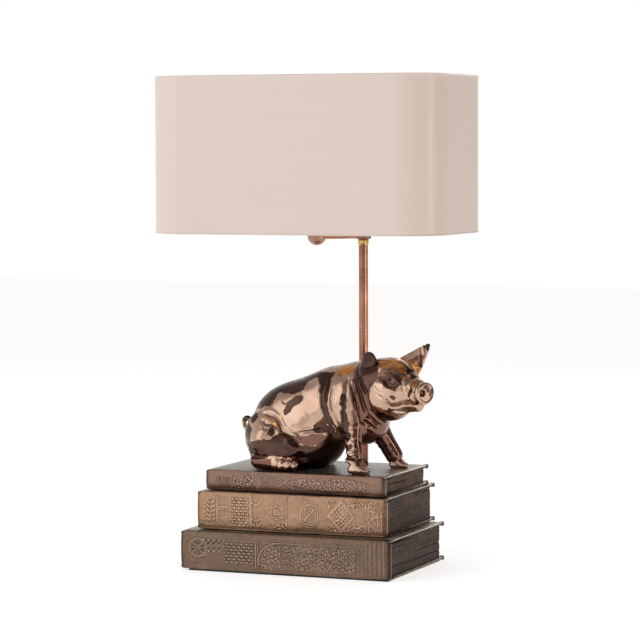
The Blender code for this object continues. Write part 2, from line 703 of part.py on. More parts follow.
# ---- lampholder ----
def make_lampholder():
    nipple_base = ARM_HEIGHT + NIPPLE_START
    nipple_top = CAP_Z + NIPPLE_IN_CAP
    nipple_bore = NIPPLE_RADIUS - NIPPLE_WALL
    turned(
        "nipple",
        (
            (nipple_bore, nipple_top),
            (NIPPLE_RADIUS, nipple_top),
            (NIPPLE_RADIUS, nipple_base),
            (nipple_bore, nipple_base),
        ),
        STEEL,
        sides=24,
        closed=True,
    )

    inside = CAP_RADIUS - CAP_WALL
    neck = NIPPLE_RADIUS + BORE_GAP
    floor = CAP_Z + CAP_FLOOR
    flange_base = CAP_TOP - CAP_FLANGE_HEIGHT
    cap = turned(
        "lampholder_cap",
        (
            (inside, CAP_TOP),
            (CAP_FLANGE_RADIUS, CAP_TOP),
            (CAP_FLANGE_RADIUS, flange_base),
            (CAP_RADIUS, flange_base),
            (CAP_RADIUS, CAP_Z + 0.0090),
            (CAP_RADIUS - 0.0025, CAP_Z + 0.0035),
            (CAP_RADIUS - 0.0065, CAP_Z),
            (neck, CAP_Z),
            (neck, floor),
            (inside - 0.0040, floor),
            (inside, floor + 0.0040),
        ),
        BRASS,
        closed=True,
    )
    bar_height = CORE_Z + CORE_HEIGHT / 2 + PUSH_BAR_RISE
    bar_hole = PUSH_BAR_RADIUS + BORE_GAP
    reach = CAP_FLANGE_RADIUS + OVERCUT
    hole = rod_mesh((-reach, 0, bar_height), (reach, 0, bar_height), bar_hole, sides=16)
    cut(cap, add_cutter("push_bar_hole", hole))

    body_radius = inside - REST_GAP
    core_top = CORE_Z + CORE_HEIGHT
    core_mesh = rod_mesh((0, 0, CORE_Z), (0, 0, core_top), body_radius)
    core = add_part("switch_core", core_mesh, PORCELAIN)
    slot = box_mesh((-reach, -bar_hole, bar_height - bar_hole), (reach, bar_hole, core_top + OVERCUT))
    cut(core, add_cutter("switch_slot", slot))

    left = -(CAP_RADIUS + PUSH_BAR_PROUD + PUSH_BAR_TRAVEL)
    right = CAP_RADIUS + PUSH_BAR_PROUD
    bar_mesh = rod_mesh((left, 0, bar_height), (right, 0, bar_height), PUSH_BAR_RADIUS, sides=16)
    bar = add_part("push_bar", bar_mesh, NYLON)
    ends = bar.modifiers.new("round_ends", "BEVEL")
    ends.width = 0.0006
    ends.segments = 2
    ends.limit_method = "ANGLE"

    # The contact insulator fills the cap above the switch and steps in to enter the barrel.
    insulator_top = CAP_TOP + SPIGOT_HEIGHT
    spigot = BARREL_BORE_RADIUS - BORE_GAP
    insulator = turned(
        "contact_insulator",
        (
            (0, insulator_top),
            (spigot, insulator_top),
            (spigot, CAP_TOP - REST_GAP),
            (body_radius, CAP_TOP - REST_GAP),
            (body_radius, INSULATOR_Z),
            (0, INSULATOR_Z),
        ),
        PORCELAIN,
    )
    plunger_base = PLUNGER_TIP - PLUNGER_LENGTH
    spring_base = plunger_base - REST_GAP - SPRING_LENGTH
    for number, side in enumerate((-1, 1), 1):
        at = (side * PLUNGER_SPACING / 2, 0)
        well_radius = PLUNGER_RADIUS + PLUNGER_CLEARANCE
        well = rod_mesh((*at, spring_base - REST_GAP), (*at, insulator_top + OVERCUT), well_radius, 16)
        cut(insulator, add_cutter(f"plunger_well_{number}", well))
        profile = (
            (0, PLUNGER_TIP),
            (PLUNGER_RADIUS * 0.7, PLUNGER_TIP),
            (PLUNGER_RADIUS, PLUNGER_TIP - 0.0007),
            (PLUNGER_RADIUS, plunger_base),
            (0, plunger_base),
        )
        turned(f"contact_plunger_{number}", profile, BRASS, at, sides=16)
        turns, per_turn = 4, 10
        low = spring_base + SPRING_WIRE
        rise = SPRING_LENGTH - 2 * SPRING_WIRE
        helix = []
        for step in range(turns * per_turn + 1):
            angle = 2 * math.pi * step / per_turn
            height = low + rise * step / (turns * per_turn)
            helix.append((at[0] + SPRING_RADIUS * math.cos(angle), SPRING_RADIUS * math.sin(angle), height))
        add_part(f"plunger_spring_{number}", mesh_of(curve_of("helix", helix, SPRING_WIRE, resolution=1)), STEEL)

    barrel_base = CAP_TOP + REST_GAP
    barrel_top = barrel_base + BARREL_HEIGHT
    barrel = turned(
        "lampholder_barrel",
        (
            (BARREL_BORE_RADIUS, barrel_top),
            (BARREL_RADIUS - 0.0005, barrel_top),
            (BARREL_RADIUS, barrel_top - 0.0005),
            (BARREL_RADIUS, barrel_base),
            (BARREL_BORE_RADIUS, barrel_base),
        ),
        BRASS,
        sides=36,
        closed=True,
    )
    # Two J slots: a way down at LOCK_TURN past the pins' rest, and a level run back to them.
    pin_height = BULB_Z + PIN_RISE
    slot_half = PIN_RADIUS + 0.0005
    slot_low, slot_high = pin_height - slot_half, pin_height + slot_half
    turn_steps = 6
    for number, base_angle in enumerate((90, 270), 1):
        inner, outer = BARREL_BORE_RADIUS - 0.0015, BARREL_RADIUS + 0.0015
        margin = math.degrees(slot_half / BARREL_BORE_RADIUS)
        start, end = base_angle - margin, base_angle + LOCK_TURN + margin
        angles = [math.radians(start + (end - start) * step / turn_steps) for step in range(turn_steps + 1)]
        arc = [(outer * math.cos(angle), outer * math.sin(angle)) for angle in angles]
        arc += [(inner * math.cos(angle), inner * math.sin(angle)) for angle in reversed(angles)]
        cut(barrel, add_cutter(f"pin_run_{number}", outline_mesh(arc, slot_low, slot_high)))
        way_mesh = box_mesh((inner, -slot_half, slot_low), (outer, slot_half, barrel_top + OVERCUT))
        way_mesh.transform(Matrix.Rotation(math.radians(base_angle + LOCK_TURN), 4, "Z"))
        cut(barrel, add_cutter(f"pin_way_{number}", way_mesh))

    ring_bore = BARREL_RADIUS + BORE_GAP
    ring_top = RING_Z + RING_HEIGHT
    turned(
        "shade_ring",
        (
            (ring_bore, ring_top),
            (RING_RADIUS - 0.0020, ring_top),
            (RING_RADIUS - 0.0020, RING_Z + 0.0020),
            (RING_RADIUS, RING_Z + 0.0020),
            (RING_RADIUS, RING_Z),
            (ring_bore, RING_Z),
        ),
        BRASS,
        sides=32,
        closed=True,
    )


# ---- bulb ----
def make_bulb():
    wall = 0.0008
    top = BULB_Z + BULB_CAP_HEIGHT
    cap = turned(
        "bulb_cap",
        (
            (BULB_CAP_RADIUS - wall, top),
            (BULB_CAP_RADIUS, top),
            (BULB_CAP_RADIUS, BULB_Z + 0.0015),
            (BULB_CAP_RADIUS - 0.0015, BULB_Z),
            (0, BULB_Z),
            (0, BULB_Z + 0.0030),
            (BULB_CAP_RADIUS - wall, BULB_Z + 0.0030),
        ),
        BRASS,
        sides=36,
        closed=True,
    )
    pin_height = BULB_Z + PIN_RISE
    pins = rod_mesh((0, -PIN_SPAN / 2, pin_height), (0, PIN_SPAN / 2, pin_height), PIN_RADIUS, sides=12)
    combine(cap, add_cutter("bulb_pins", pins), "UNION")

    # The globe: a straight neck, a smooth shoulder and a round crown, drawn on its outside then its inside.
    neck_base = top + REST_GAP
    neck = BULB_CAP_RADIUS + 0.0015
    crown_height = BULB_Z + BULB_LENGTH - BULB_RADIUS
    shoulder_start = neck_base + 0.008
    outside = []
    crown_steps, shoulder_steps = 6, 5
    for step in range(crown_steps + 1):
        angle = math.radians(90) * step / crown_steps
        outside.append((BULB_RADIUS * math.sin(angle), crown_height + BULB_RADIUS * math.cos(angle)))
    for step in range(1, shoulder_steps + 1):
        share = step / shoulder_steps
        ease = (1 + math.cos(math.pi * share)) / 2
        height = crown_height + (shoulder_start - crown_height) * share
        outside.append((neck + (BULB_RADIUS - neck) * ease, height))
    outside.append((neck, neck_base))
    inside = [(max(0, radius - GLASS), min(height, BULB_Z + BULB_LENGTH - GLASS)) for radius, height in outside]
    inside.reverse()
    turned("bulb_globe", outside + inside, OPAL, sides=20)


# ---- shade ----
def wire_loop(inset, height, steps):
    corner = SHADE_CORNER - inset
    outline = rounded_rectangle(SHADE_WIDTH - 2 * inset, SHADE_DEPTH - 2 * inset, corner, steps)
    return [(x, y, height) for x, y in outline]


def make_shade():
    top = SHADE_BOTTOM + SHADE_HEIGHT
    corner_steps = 8
    outline = rounded_rectangle(SHADE_WIDTH, SHADE_DEPTH, SHADE_CORNER, corner_steps)

    def wall(shape):
        low = [shape.verts.new((x, y, SHADE_BOTTOM)) for x, y in outline]
        high = [shape.verts.new((x, y, top)) for x, y in outline]
        for i in range(len(outline)):
            j = (i + 1) % len(outline)
            shape.faces.new((low[i], low[j], high[j], high[i]))

    cover = add_part("shade_cover", mesh_from(wall), SILK)
    thickness = cover.modifiers.new("wall", "SOLIDIFY")
    thickness.thickness = SHADE_WALL
    thickness.offset = -1
    thickness.use_even_offset = True

    inset = SHADE_WALL + REST_GAP + FRAME_WIRE
    wire_steps = 6
    top_wire = curve_of("top_wire", wire_loop(inset, top - FRAME_WIRE - REST_GAP, wire_steps), FRAME_WIRE, True, 1)
    add_part("shade_top_wire", mesh_of(top_wire), WIRE_WHITE)

    # The carrier: a fitter washer on the lampholder, four spokes and the bottom wire, welded together.
    wire_height = SHADE_BOTTOM + FRAME_WIRE + REST_GAP
    fitter_bore = BARREL_RADIUS + BORE_GAP
    fitter_top = FITTER_Z + FITTER_THICKNESS
    carrier = turned(
        "shade_carrier",
        (
            (fitter_bore, fitter_top),
            (FITTER_RADIUS, fitter_top),
            (FITTER_RADIUS, FITTER_Z),
            (fitter_bore, FITTER_Z),
        ),
        WIRE_WHITE,
        sides=32,
        closed=True,
    )
    bottom_wire = mesh_of(curve_of("bottom_wire", wire_loop(inset, wire_height, wire_steps), FRAME_WIRE, True, 1))
    combine(carrier, add_cutter("bottom_wire", bottom_wire), "UNION")
    spoke_height = FITTER_Z + FITTER_THICKNESS / 2
    for number in range(4):
        angle = math.radians(90) * number
        along = Vector((math.cos(angle), math.sin(angle), 0))
        half = (SHADE_WIDTH if number % 2 == 0 else SHADE_DEPTH) / 2 - inset
        start = along * (FITTER_RADIUS - 0.0015) + Vector((0, 0, spoke_height))
        knee = along * (FITTER_RADIUS + 0.006) + Vector((0, 0, spoke_height))
        end = along * half + Vector((0, 0, wire_height))
        spoke = mesh_of(curve_of("spoke", (start, knee, end), FRAME_WIRE * 0.9, resolution=1))
        combine(carrier, add_cutter(f"spoke_{number + 1}", spoke), "UNION")


# ---- pig ----
def add_ellipsoid(shape, centre, half_sizes, yaw):
    place = Matrix.Translation(centre) @ Matrix.Rotation(math.radians(yaw), 4, "Z") @ Matrix.Diagonal((*half_sizes, 1))
    bmesh.ops.create_uvsphere(shape, u_segments=24, v_segments=16, radius=1, matrix=place)


def add_limb(shape, chain):
    """Tapered links between the chain's balls, each the hull of the two balls at its ends."""
    for (start, start_radius), (end, end_radius) in zip(chain, chain[1:]):
        before = set(shape.verts)
        for centre, radius in ((start, start_radius), (end, end_radius)):
            bmesh.ops.create_uvsphere(
                shape, u_segments=16, v_segments=10, radius=radius, matrix=Matrix.Translation(centre)
            )
        made = [vert for vert in shape.verts if vert not in before]
        faces = {face for vert in made for face in vert.link_faces}
        bmesh.ops.delete(shape, geom=list(faces), context="FACES_ONLY")
        hull = bmesh.ops.convex_hull(shape, input=made)
        inner = [part for part in hull["geom_interior"] if isinstance(part, bmesh.types.BMVert)]
        bmesh.ops.delete(shape, geom=inner, context="VERTS")


def head_place(point):
    """A point of the head's own frame in the part's frame, still counted from the book."""
    turn = math.radians(HEAD_YAW)
    forward, aside, height = point
    x = HEAD_PIVOT[0] + forward * math.cos(turn) - aside * math.sin(turn)
    y = HEAD_PIVOT[1] + forward * math.sin(turn) + aside * math.cos(turn)
    return x, y, height


def tail_chain():
    """A curl that leaves the rump, loops once and ends in a thin tip."""
    chain = []
    for step in range(TAIL_POINTS + 1):
        share = step / TAIL_POINTS
        angle = math.radians(-60 + 400 * share)
        loop = TAIL_LOOP * (1.1 - 0.35 * share)
        x = TAIL_CENTRE[0] + 0.5 * loop * math.sin(angle) + 0.004 * (1 - share)
        y = TAIL_CENTRE[1] - 0.006 * share + 0.5 * loop * math.cos(angle)
        height = TAIL_CENTRE[2] - loop * math.cos(angle)
        chain.append(((x, y, height), TAIL_RADIUS * (1 - 0.45 * share)))
    return chain


def make_pig(screw_holes):
    def masses(shape):
        for centre, half_sizes, yaw in PIG_MASSES.values():
            add_ellipsoid(shape, centre, half_sizes, yaw)
        for centre, half_sizes, yaw in HEAD_MASSES.values():
            add_ellipsoid(shape, head_place(centre), half_sizes, yaw + HEAD_YAW)
        for chain in PIG_LIMBS.values():
            add_limb(shape, chain)
        for chain in HEAD_LIMBS.values():
            add_limb(shape, [(head_place(centre), radius) for centre, radius in chain])
        add_limb(shape, tail_chain())
        bmesh.ops.recalc_face_normals(shape, faces=shape.faces)
        bmesh.ops.translate(shape, verts=shape.verts, vec=(0, 0, PIG_FLOOR))

    pig = add_part("pig", mesh_from(masses), POLISHED_BRONZE, smooth_below=0)
    skin = pig.modifiers.new("one_skin", "REMESH")
    skin.mode = "VOXEL"
    skin.voxel_size = PIG_VOXEL
    skin.use_smooth_shade = True
    soften = pig.modifiers.new("soften", "SMOOTH")
    soften.factor = 0.5
    soften.iterations = PIG_SMOOTHING
    lighten = pig.modifiers.new("lighten", "DECIMATE")
    lighten.ratio = PIG_KEPT_FACES
    lighten.use_collapse_triangulate = True
    under = box_mesh((-0.2, -0.2, PIG_FLOOR - 0.05), (0.2, 0.2, PIG_FLOOR))
    cut(pig, add_cutter("pig_floor", under), *screw_holes)


bottom_book, pig_screw_holes = make_books()
make_gland(bottom_book)
make_stem()
make_lampholder()
make_bulb()
make_shade()
make_pig(pig_screw_holes)
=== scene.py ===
"""The looks of the pig and books table lamp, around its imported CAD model. Metres, +Z up, unless a part says mm."""

import math

import bpy
import numpy as np
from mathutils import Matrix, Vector


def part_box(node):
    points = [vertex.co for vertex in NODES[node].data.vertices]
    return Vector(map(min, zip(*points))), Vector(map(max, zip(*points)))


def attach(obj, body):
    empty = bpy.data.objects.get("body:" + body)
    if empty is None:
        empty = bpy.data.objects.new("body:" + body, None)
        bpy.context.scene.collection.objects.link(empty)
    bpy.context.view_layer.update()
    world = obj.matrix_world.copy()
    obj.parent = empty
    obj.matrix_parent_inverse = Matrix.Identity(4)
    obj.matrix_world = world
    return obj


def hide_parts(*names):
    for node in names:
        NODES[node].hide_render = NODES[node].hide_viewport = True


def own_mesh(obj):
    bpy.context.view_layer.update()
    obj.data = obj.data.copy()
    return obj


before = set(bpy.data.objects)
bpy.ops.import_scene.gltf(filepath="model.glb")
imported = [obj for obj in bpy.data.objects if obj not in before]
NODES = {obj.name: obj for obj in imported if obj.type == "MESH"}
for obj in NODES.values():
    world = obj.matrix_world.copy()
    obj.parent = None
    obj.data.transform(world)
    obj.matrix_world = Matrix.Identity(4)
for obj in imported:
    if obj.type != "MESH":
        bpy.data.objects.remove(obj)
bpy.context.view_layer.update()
MM = 0.001


def low_of(node):
    return np.array(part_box(node)[0]) / MM


def high_of(node):
    return np.array(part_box(node)[1]) / MM


def centre_of(node):
    return (low_of(node) + high_of(node)) / 2


# ---- materials ----
class Graph:
    """A node material on one Principled shader, with short calls for the nodes that it uses."""

    def __init__(self, name, roughness=0.5, metallic=0.0, **settings):
        self.material = bpy.data.materials.new(name)
        self.material.use_nodes = True
        self.tree = self.material.node_tree
        self.shader = self.tree.nodes["Principled BSDF"]
        self.shader.inputs["Roughness"].default_value = roughness
        self.shader.inputs["Metallic"].default_value = metallic
        for socket, value in settings.items():
            self.shader.inputs[socket.replace("_", " ")].default_value = value
        self.place = self.node("ShaderNodeTexCoord").outputs["Object"]

    def node(self, kind, **settings):
        made = self.tree.nodes.new(kind)
        for key, value in settings.items():
            setattr(made, key, value)
        return made

    def wire(self, value, socket):
        if isinstance(value, bpy.types.NodeSocket):
            self.tree.links.new(value, socket)
        elif value is not None:
            socket.default_value = value

    def set(self, socket, value):
        self.wire(value, self.shader.inputs[socket])

    def stretched(self, scale):
        mapping = self.node("ShaderNodeMapping")
        self.wire(self.place, mapping.inputs["Vector"])
        mapping.inputs["Scale"].default_value = scale
        return mapping.outputs["Vector"]

    def pattern(self, made, vector, output, **settings):
        self.wire(self.place if vector is None else vector, made.inputs["Vector"])
        for socket, value in settings.items():
            made.inputs[socket].default_value = value
        return made.outputs[output]

    def noise(self, scale, detail=3.0, roughness=0.5, vector=None):
        made = self.node("ShaderNodeTexNoise")
        return self.pattern(made, vector, "Fac", Scale=scale, Detail=detail, Roughness=roughness)

    def wave(self, scale, distortion, direction, vector=None):
        made = self.node("ShaderNodeTexWave", bands_direction=direction)
        return self.pattern(made, vector, "Fac", Scale=scale, Distortion=distortion, Detail=1)

    def attribute(self, name):
        return self.node("ShaderNodeAttribute", attribute_name=name).outputs["Fac"]

    def times(self, a, b):
        return self.maths("MULTIPLY", a, b)

    def plus(self, a, b):
        return self.maths("ADD", a, b)

    def maths(self, operation, a, b=0.0, clamp=False):
        made = self.node("ShaderNodeMath", operation=operation, use_clamp=clamp)
        self.wire(a, made.inputs[0])
        self.wire(b, made.inputs[1])
        return made.outputs[0]

    def between(self, value, low, high, to_low=0.0, to_high=1.0):
        made = self.node("ShaderNodeMapRange", interpolation_type="SMOOTHSTEP")
        for socket, setting in zip(range(5), (value, low, high, to_low, to_high)):
            self.wire(setting, made.inputs[socket])
        return made.outputs[0]

    def mix(self, share, a, b):
        made = self.node("ShaderNodeMix", data_type="RGBA")
        for socket, setting in ((0, share), (6, a), (7, b)):
            if isinstance(setting, tuple):
                setting = (*setting, 1)
            self.wire(setting, made.inputs[socket])
        return made.outputs[2]

    def bump(self, height, distance, strength=0.5):
        made = self.node("ShaderNodeBump")
        made.inputs["Strength"].default_value = strength
        made.inputs["Distance"].default_value = distance
        self.wire(height, made.inputs["Height"])
        self.set("Normal", made.outputs["Normal"])


def pig_bronze():
    """Polished bronze over a random change of tone, with painted brown shade, painted warm and dark reflections, and
    painted shade in its folds.
    """
    g = Graph("pig_bronze", roughness=0.12, metallic=1.0)
    fine = g.noise(420, 4)
    cloud = g.noise(38, 3)
    ragged = g.times(g.maths("SUBTRACT", fine, 0.5), 0.30)
    colour = g.mix(g.between(cloud, 0.3, 0.7), (0.63, 0.425, 0.32), (0.54, 0.35, 0.257))
    # Painted brown shade where the mid attribute is high.
    colour = g.mix(g.between(g.plus(g.attribute("mid"), ragged), 0.30, 0.75), colour, (0.205, 0.108, 0.079))
    broken = g.times(g.maths("SUBTRACT", g.noise(95, 3), 0.5), 1.3)
    # Painted warm reflections: the gold attribute's patches turn orange.
    gold = g.times(g.attribute("gold"), g.plus(0.75, broken))
    bright_tone = g.mix(g.between(cloud, 0.4, 0.6), (0.85, 0.36, 0.09), (0.40, 0.14, 0.055))
    colour = g.mix(g.between(gold, 0.30, 0.85), colour, bright_tone)
    # Painted dark reflections: the dark attribute's patches turn a near black brown.
    dark = g.between(g.plus(g.attribute("dark"), ragged), 0.42, 0.60)
    dark_reflection_colour = g.mix(g.between(cloud, 0.35, 0.65), (0.068, 0.037, 0.029), (0.115, 0.066, 0.050))
    colour = g.mix(dark, colour, dark_reflection_colour)
    # Painted shade along the creases and the mouth line.
    crease = g.between(g.attribute("crease"), 0.15, 0.85)
    colour = g.mix(g.times(crease, 0.8), colour, (0.07, 0.037, 0.028))
    g.set("Base Color", colour)
    g.set("Roughness", g.between(fine, 0.25, 0.8, 0.09, 0.22))
    g.bump(fine, 0.00005)
    return g.material


def book_bronze(name, recess, face, bright_tone, tarnish):
    """Aged bronze: painted shade in the relief's recesses, a painted highlight on its crests, mottled all over."""
    g = Graph(name, roughness=0.42, metallic=0.85)
    mottle = g.noise(55, 6, 0.62)
    fine = g.noise(900, 4, 0.6)
    height = g.plus(g.attribute("relief"), g.times(g.maths("SUBTRACT", mottle, 0.5), 0.5))
    # Painted shade in the recesses and a painted highlight on the crests, from the relief attribute.
    colour = g.mix(g.between(height, 0.02, 0.45), recess, face)
    colour = g.mix(g.between(height, 0.60, 1.05), colour, bright_tone)
    colour = g.mix(g.times(g.between(g.noise(17, 5, 0.6), 0.50, 0.72), 0.6), colour, tarnish)
    colour = g.mix(g.times(g.between(g.noise(26, 4, 0.6), 0.56, 0.74), 0.35), colour, bright_tone)
    pits = g.noise(330, 4, 0.62)
    colour = g.mix(g.times(g.between(pits, 0.56, 0.70), 0.55), colour, recess)
    colour = g.mix(g.times(g.between(pits, 0.42, 0.30), 0.30), colour, bright_tone)
    g.set("Base Color", colour)
    g.set("Roughness", g.between(mottle, 0.3, 0.7, 0.30, 0.50))
    g.bump(fine, 0.00012)
    return g.material


def cover_bronze():
    """The boards: smooth dark bronze with a grey green bloom, fine leather grain, a tooled border and a painted
    highlight along their rounded ends.
    """
    g = Graph("cover_bronze", roughness=0.3, metallic=0.7)
    cloud = g.noise(24, 5, 0.6)
    voronoi = g.node("ShaderNodeTexVoronoi", feature="DISTANCE_TO_EDGE")
    grain = g.pattern(voronoi, None, "Distance", Scale=720)
    colour = g.mix(g.between(cloud, 0.35, 0.7), (0.22, 0.19, 0.155), (0.36, 0.32, 0.265))
    border = g.attribute("border")
    strip = g.times(g.between(border, 1.2, 1.8), g.between(border, 6.4, 5.6))
    lines = g.times(g.between(border, 0.6, 1.0), g.between(border, 1.6, 1.2))
    lines = g.plus(lines, g.times(g.between(border, 6.4, 6.8), g.between(border, 7.6, 7.2)))
    beat = g.maths("SINE", g.times(g.plus(g.attribute("depthwise"), g.attribute("lengthwise")), 1.62))
    tooled = g.maths("ADD", g.times(strip, g.between(beat, -0.3, 0.5)), lines, clamp=True)
    # A painted highlight along the boards' rounded ends, from the relief attribute.
    board_end_highlight = g.between(g.plus(g.attribute("relief"), g.times(cloud, 0.45)), 0.62, 1.15)
    bright = g.maths("MAXIMUM", board_end_highlight, tooled)
    colour = g.mix(bright, colour, (0.74, 0.66, 0.55))
    g.set("Base Color", colour)
    g.set("Roughness", g.between(cloud, 0.3, 0.75, 0.20, 0.38))
    skin = g.plus(g.between(grain, 0.0, 0.12), g.times(tooled, 2.0))
    g.bump(skin, 0.00012)
    return g.material


def page_bronze():
    """The page blocks: dark brown, streaked along the sheets, with painted shade in the gaps between them."""
    g = Graph("page_bronze", roughness=0.6, metallic=0.2, Specular_IOR_Level=0.12)
    streak = g.noise(1.0, 6, 0.7, vector=g.stretched((9, 9, 900)))
    cloud = g.noise(34, 5, 0.6)
    colour = g.mix(g.between(streak, 0.35, 0.68), (0.036, 0.024, 0.018), (0.088, 0.060, 0.043))
    colour = g.mix(g.times(g.between(cloud, 0.48, 0.66), 0.55), colour, (0.175, 0.108, 0.066))
    # Painted shade in the gaps and nicks between the sheets.
    colour = g.mix(g.between(g.attribute("relief"), 0.0, 0.35), (0.022, 0.014, 0.010), colour)
    g.set("Base Color", colour)
    g.set("Roughness", g.between(cloud, 0.3, 0.7, 0.50, 0.66))
    g.bump(streak, 0.0002)
    return g.material


def brushed(name, colour, dark, roughness, along="Z", scale=1.0):
    """Drawn or turned metal: fine streaks along one direction, and a slow change of tone."""
    g = Graph(name, roughness=roughness, metallic=1.0)
    stretch = {"X": (30, 1600, 1600), "Y": (1600, 30, 1600), "Z": (1600, 1600, 14)}[along]
    streak = g.noise(scale, 4, 0.6, vector=g.stretched(stretch))
    cloud = g.noise(60, 3)
    tone = g.plus(g.times(streak, 0.55), g.times(cloud, 0.45))
    g.set("Base Color", g.mix(g.between(tone, 0.36, 0.64), dark, colour))
    g.set("Roughness", g.between(streak, 0.3, 0.7, roughness * 0.8, roughness * 1.3))
    g.bump(streak, 0.00003)
    return g.material


def silk(name, colour, shadow):
    """Hard-lined faux silk: level slub threads over a fine plain weave, with a satin gloss."""
    g = Graph(name, roughness=0.45, Specular_IOR_Level=0.3, Coat_Weight=1.0, Coat_Roughness=0.32)
    slubs = g.noise(1.0, 5, 0.62, vector=g.stretched((14, 14, 1150)))
    broad = g.noise(1.0, 3, 0.5, vector=g.stretched((5, 5, 260)))
    thread = g.plus(g.times(slubs, 0.65), g.times(broad, 0.35))
    colour = g.mix(g.between(thread, 0.36, 0.66), shadow, colour)
    g.set("Base Color", colour)
    weft = g.wave(1500, 0.6, "Z")
    warp = g.wave(1, 0.3, "X", vector=g.stretched((1300, 1300, 1)))
    weave = g.plus(weft, g.plus(warp, g.times(slubs, 2.0)))
    g.bump(weave, 0.00008, 0.35)
    return g.material


def lining():
    """The shade's white styrene lining, faintly pebbled."""
    g = Graph("shade_lining", roughness=0.45, Specular_IOR_Level=0.4)
    cloud = g.noise(40, 3)
    g.set("Base Color", g.mix(g.between(cloud, 0.3, 0.7), (0.80, 0.78, 0.75), (0.86, 0.845, 0.82)))
    g.bump(g.noise(1400, 2), 0.00004, 0.4)
    return g.material


def coated(name, low, high, roughness, metallic=0.0, scale=300, depth=0.00005):
    """A plain coating with a slight change of tone and a fine skin texture."""
    g = Graph(name, roughness=roughness, metallic=metallic)
    speckle = g.noise(scale, 4)
    g.set("Base Color", g.mix(g.between(speckle, 0.3, 0.7), low, high))
    g.set("Roughness", g.between(speckle, 0.25, 0.75, roughness * 0.85, roughness * 1.15))
    g.bump(speckle, depth)
    return g.material


PIG_BRONZE = pig_bronze()
SPINE_TOP = book_bronze(
    "spine_top", (0.075, 0.044, 0.032), (0.275, 0.165, 0.120), (0.49, 0.345, 0.27), (0.20, 0.155, 0.118)
)
SPINE_MIDDLE = book_bronze(
    "spine_middle", (0.125, 0.065, 0.038), (0.42, 0.25, 0.155), (0.70, 0.48, 0.34), (0.33, 0.215, 0.14)
)
SPINE_BOTTOM = book_bronze(
    "spine_bottom", (0.050, 0.030, 0.020), (0.195, 0.127, 0.088), (0.40, 0.28, 0.20), (0.155, 0.125, 0.088)
)
COVER = cover_bronze()
PAGES = page_bronze()
BEADS = coated("bead_bronze", (0.030, 0.022, 0.016), (0.085, 0.062, 0.045), 0.6, metallic=0.3, scale=180)
COPPER = brushed("drawn_copper", (0.50, 0.232, 0.145), (0.25, 0.115, 0.075), 0.22)
COPPER_DARK = brushed("turned_copper", (0.36, 0.19, 0.12), (0.17, 0.085, 0.055), 0.24, "X", 0.6)
BALL_COPPER = brushed("ball_copper", (0.50, 0.285, 0.20), (0.27, 0.15, 0.105), 0.30, "X", 0.7)
GOLD = brushed("collar_brass", (0.90, 0.62, 0.27), (0.62, 0.38, 0.14), 0.16, "X", 0.6)
BRASS = brushed("holder_brass", (0.72, 0.55, 0.28), (0.48, 0.34, 0.15), 0.28, "X", 0.6)
ZINC = brushed("zinc_steel", (0.58, 0.58, 0.60), (0.38, 0.38, 0.40), 0.32, "X", 0.6)
SILK = silk("shade_silk", (0.812, 0.682, 0.605), (0.792, 0.657, 0.580))
LINING = lining()
WHITE_WIRE = coated("white_wire", (0.78, 0.77, 0.74), (0.86, 0.85, 0.83), 0.35)
NYLON = coated("black_nylon", (0.012, 0.012, 0.013), (0.028, 0.027, 0.027), 0.42)
PORCELAIN = coated("porcelain", (0.72, 0.70, 0.66), (0.82, 0.81, 0.78), 0.25)
FELT = coated("felt", (0.012, 0.018, 0.015), (0.035, 0.045, 0.040), 0.95, scale=1800, depth=0.0004)
OPAL = coated("opal_glass", (0.86, 0.86, 0.85), (0.90, 0.895, 0.885), 0.22, scale=80, depth=0.00001)


# ---- mesh helpers ----
FAR = 1000.0


def make_piece(name, points, faces, surface, smooth_below=60.0, **values):
    """An object from points in millimetres, with one number a point for each named value."""
    mesh = bpy.data.meshes.new(name)
    mesh.from_pydata((np.asarray(points, float) * MM).tolist(), [], [list(map(int, face)) for face in faces])
    mesh.update()
    for key, numbers in values.items():
        layer = mesh.attributes.new(key, "FLOAT", "POINT")
        layer.data.foreach_set("value", np.asarray(numbers, np.float32))
    mesh.materials.append(surface)
    mesh.shade_smooth()
    if smooth_below < 180:
        mesh.set_sharp_from_angle(angle=math.radians(smooth_below))
    obj = bpy.data.objects.new(name, mesh)
    bpy.context.scene.collection.objects.link(obj)
    return obj


def smooth_step(value, low, high):
    share = np.clip((value - low) / (high - low), 0, 1)
    return share * share * (3 - 2 * share)


def ridge(gap, width):
    return np.exp(-((gap / width) ** 2))


def ripple(points, size, seed, waves=9):
    """A smooth random field from -1 to 1, whose hills are about one size across."""
    dice = np.random.default_rng(seed)
    points = np.asarray(points, float)
    total = np.zeros(points.shape[:-1])
    for _ in range(waves):
        way = dice.normal(size=points.shape[-1])
        way *= dice.uniform(0.6, 1.5) / np.linalg.norm(way) * 2 * math.pi / (2 * size)
        total += np.sin(points @ way + dice.uniform(0, 2 * math.pi))
    return total / math.sqrt(waves / 2) / 1.8


def gap_to_path(s, t, path):
    """How far each (s, t) is from a path of points, and how far along the path from 0 to 1 it is nearest."""
    path = np.asarray(path, float)
    lengths = np.linalg.norm(np.diff(path, axis=0), axis=1)
    starts = np.concatenate(([0], np.cumsum(lengths)))
    best, along = np.full(np.shape(s), FAR), np.zeros(np.shape(s))
    for p, q, length, start in zip(path, path[1:], lengths, starts):
        run = q - p
        share = np.clip(((s - p[0]) * run[0] + (t - p[1]) * run[1]) / (length * length), 0, 1)
        gap = np.hypot(s - p[0] - share * run[0], t - p[1] - share * run[1])
        closer = gap < best
        best = np.where(closer, gap, best)
        along = np.where(closer, (start + share * length) / starts[-1], along)
    return best, along


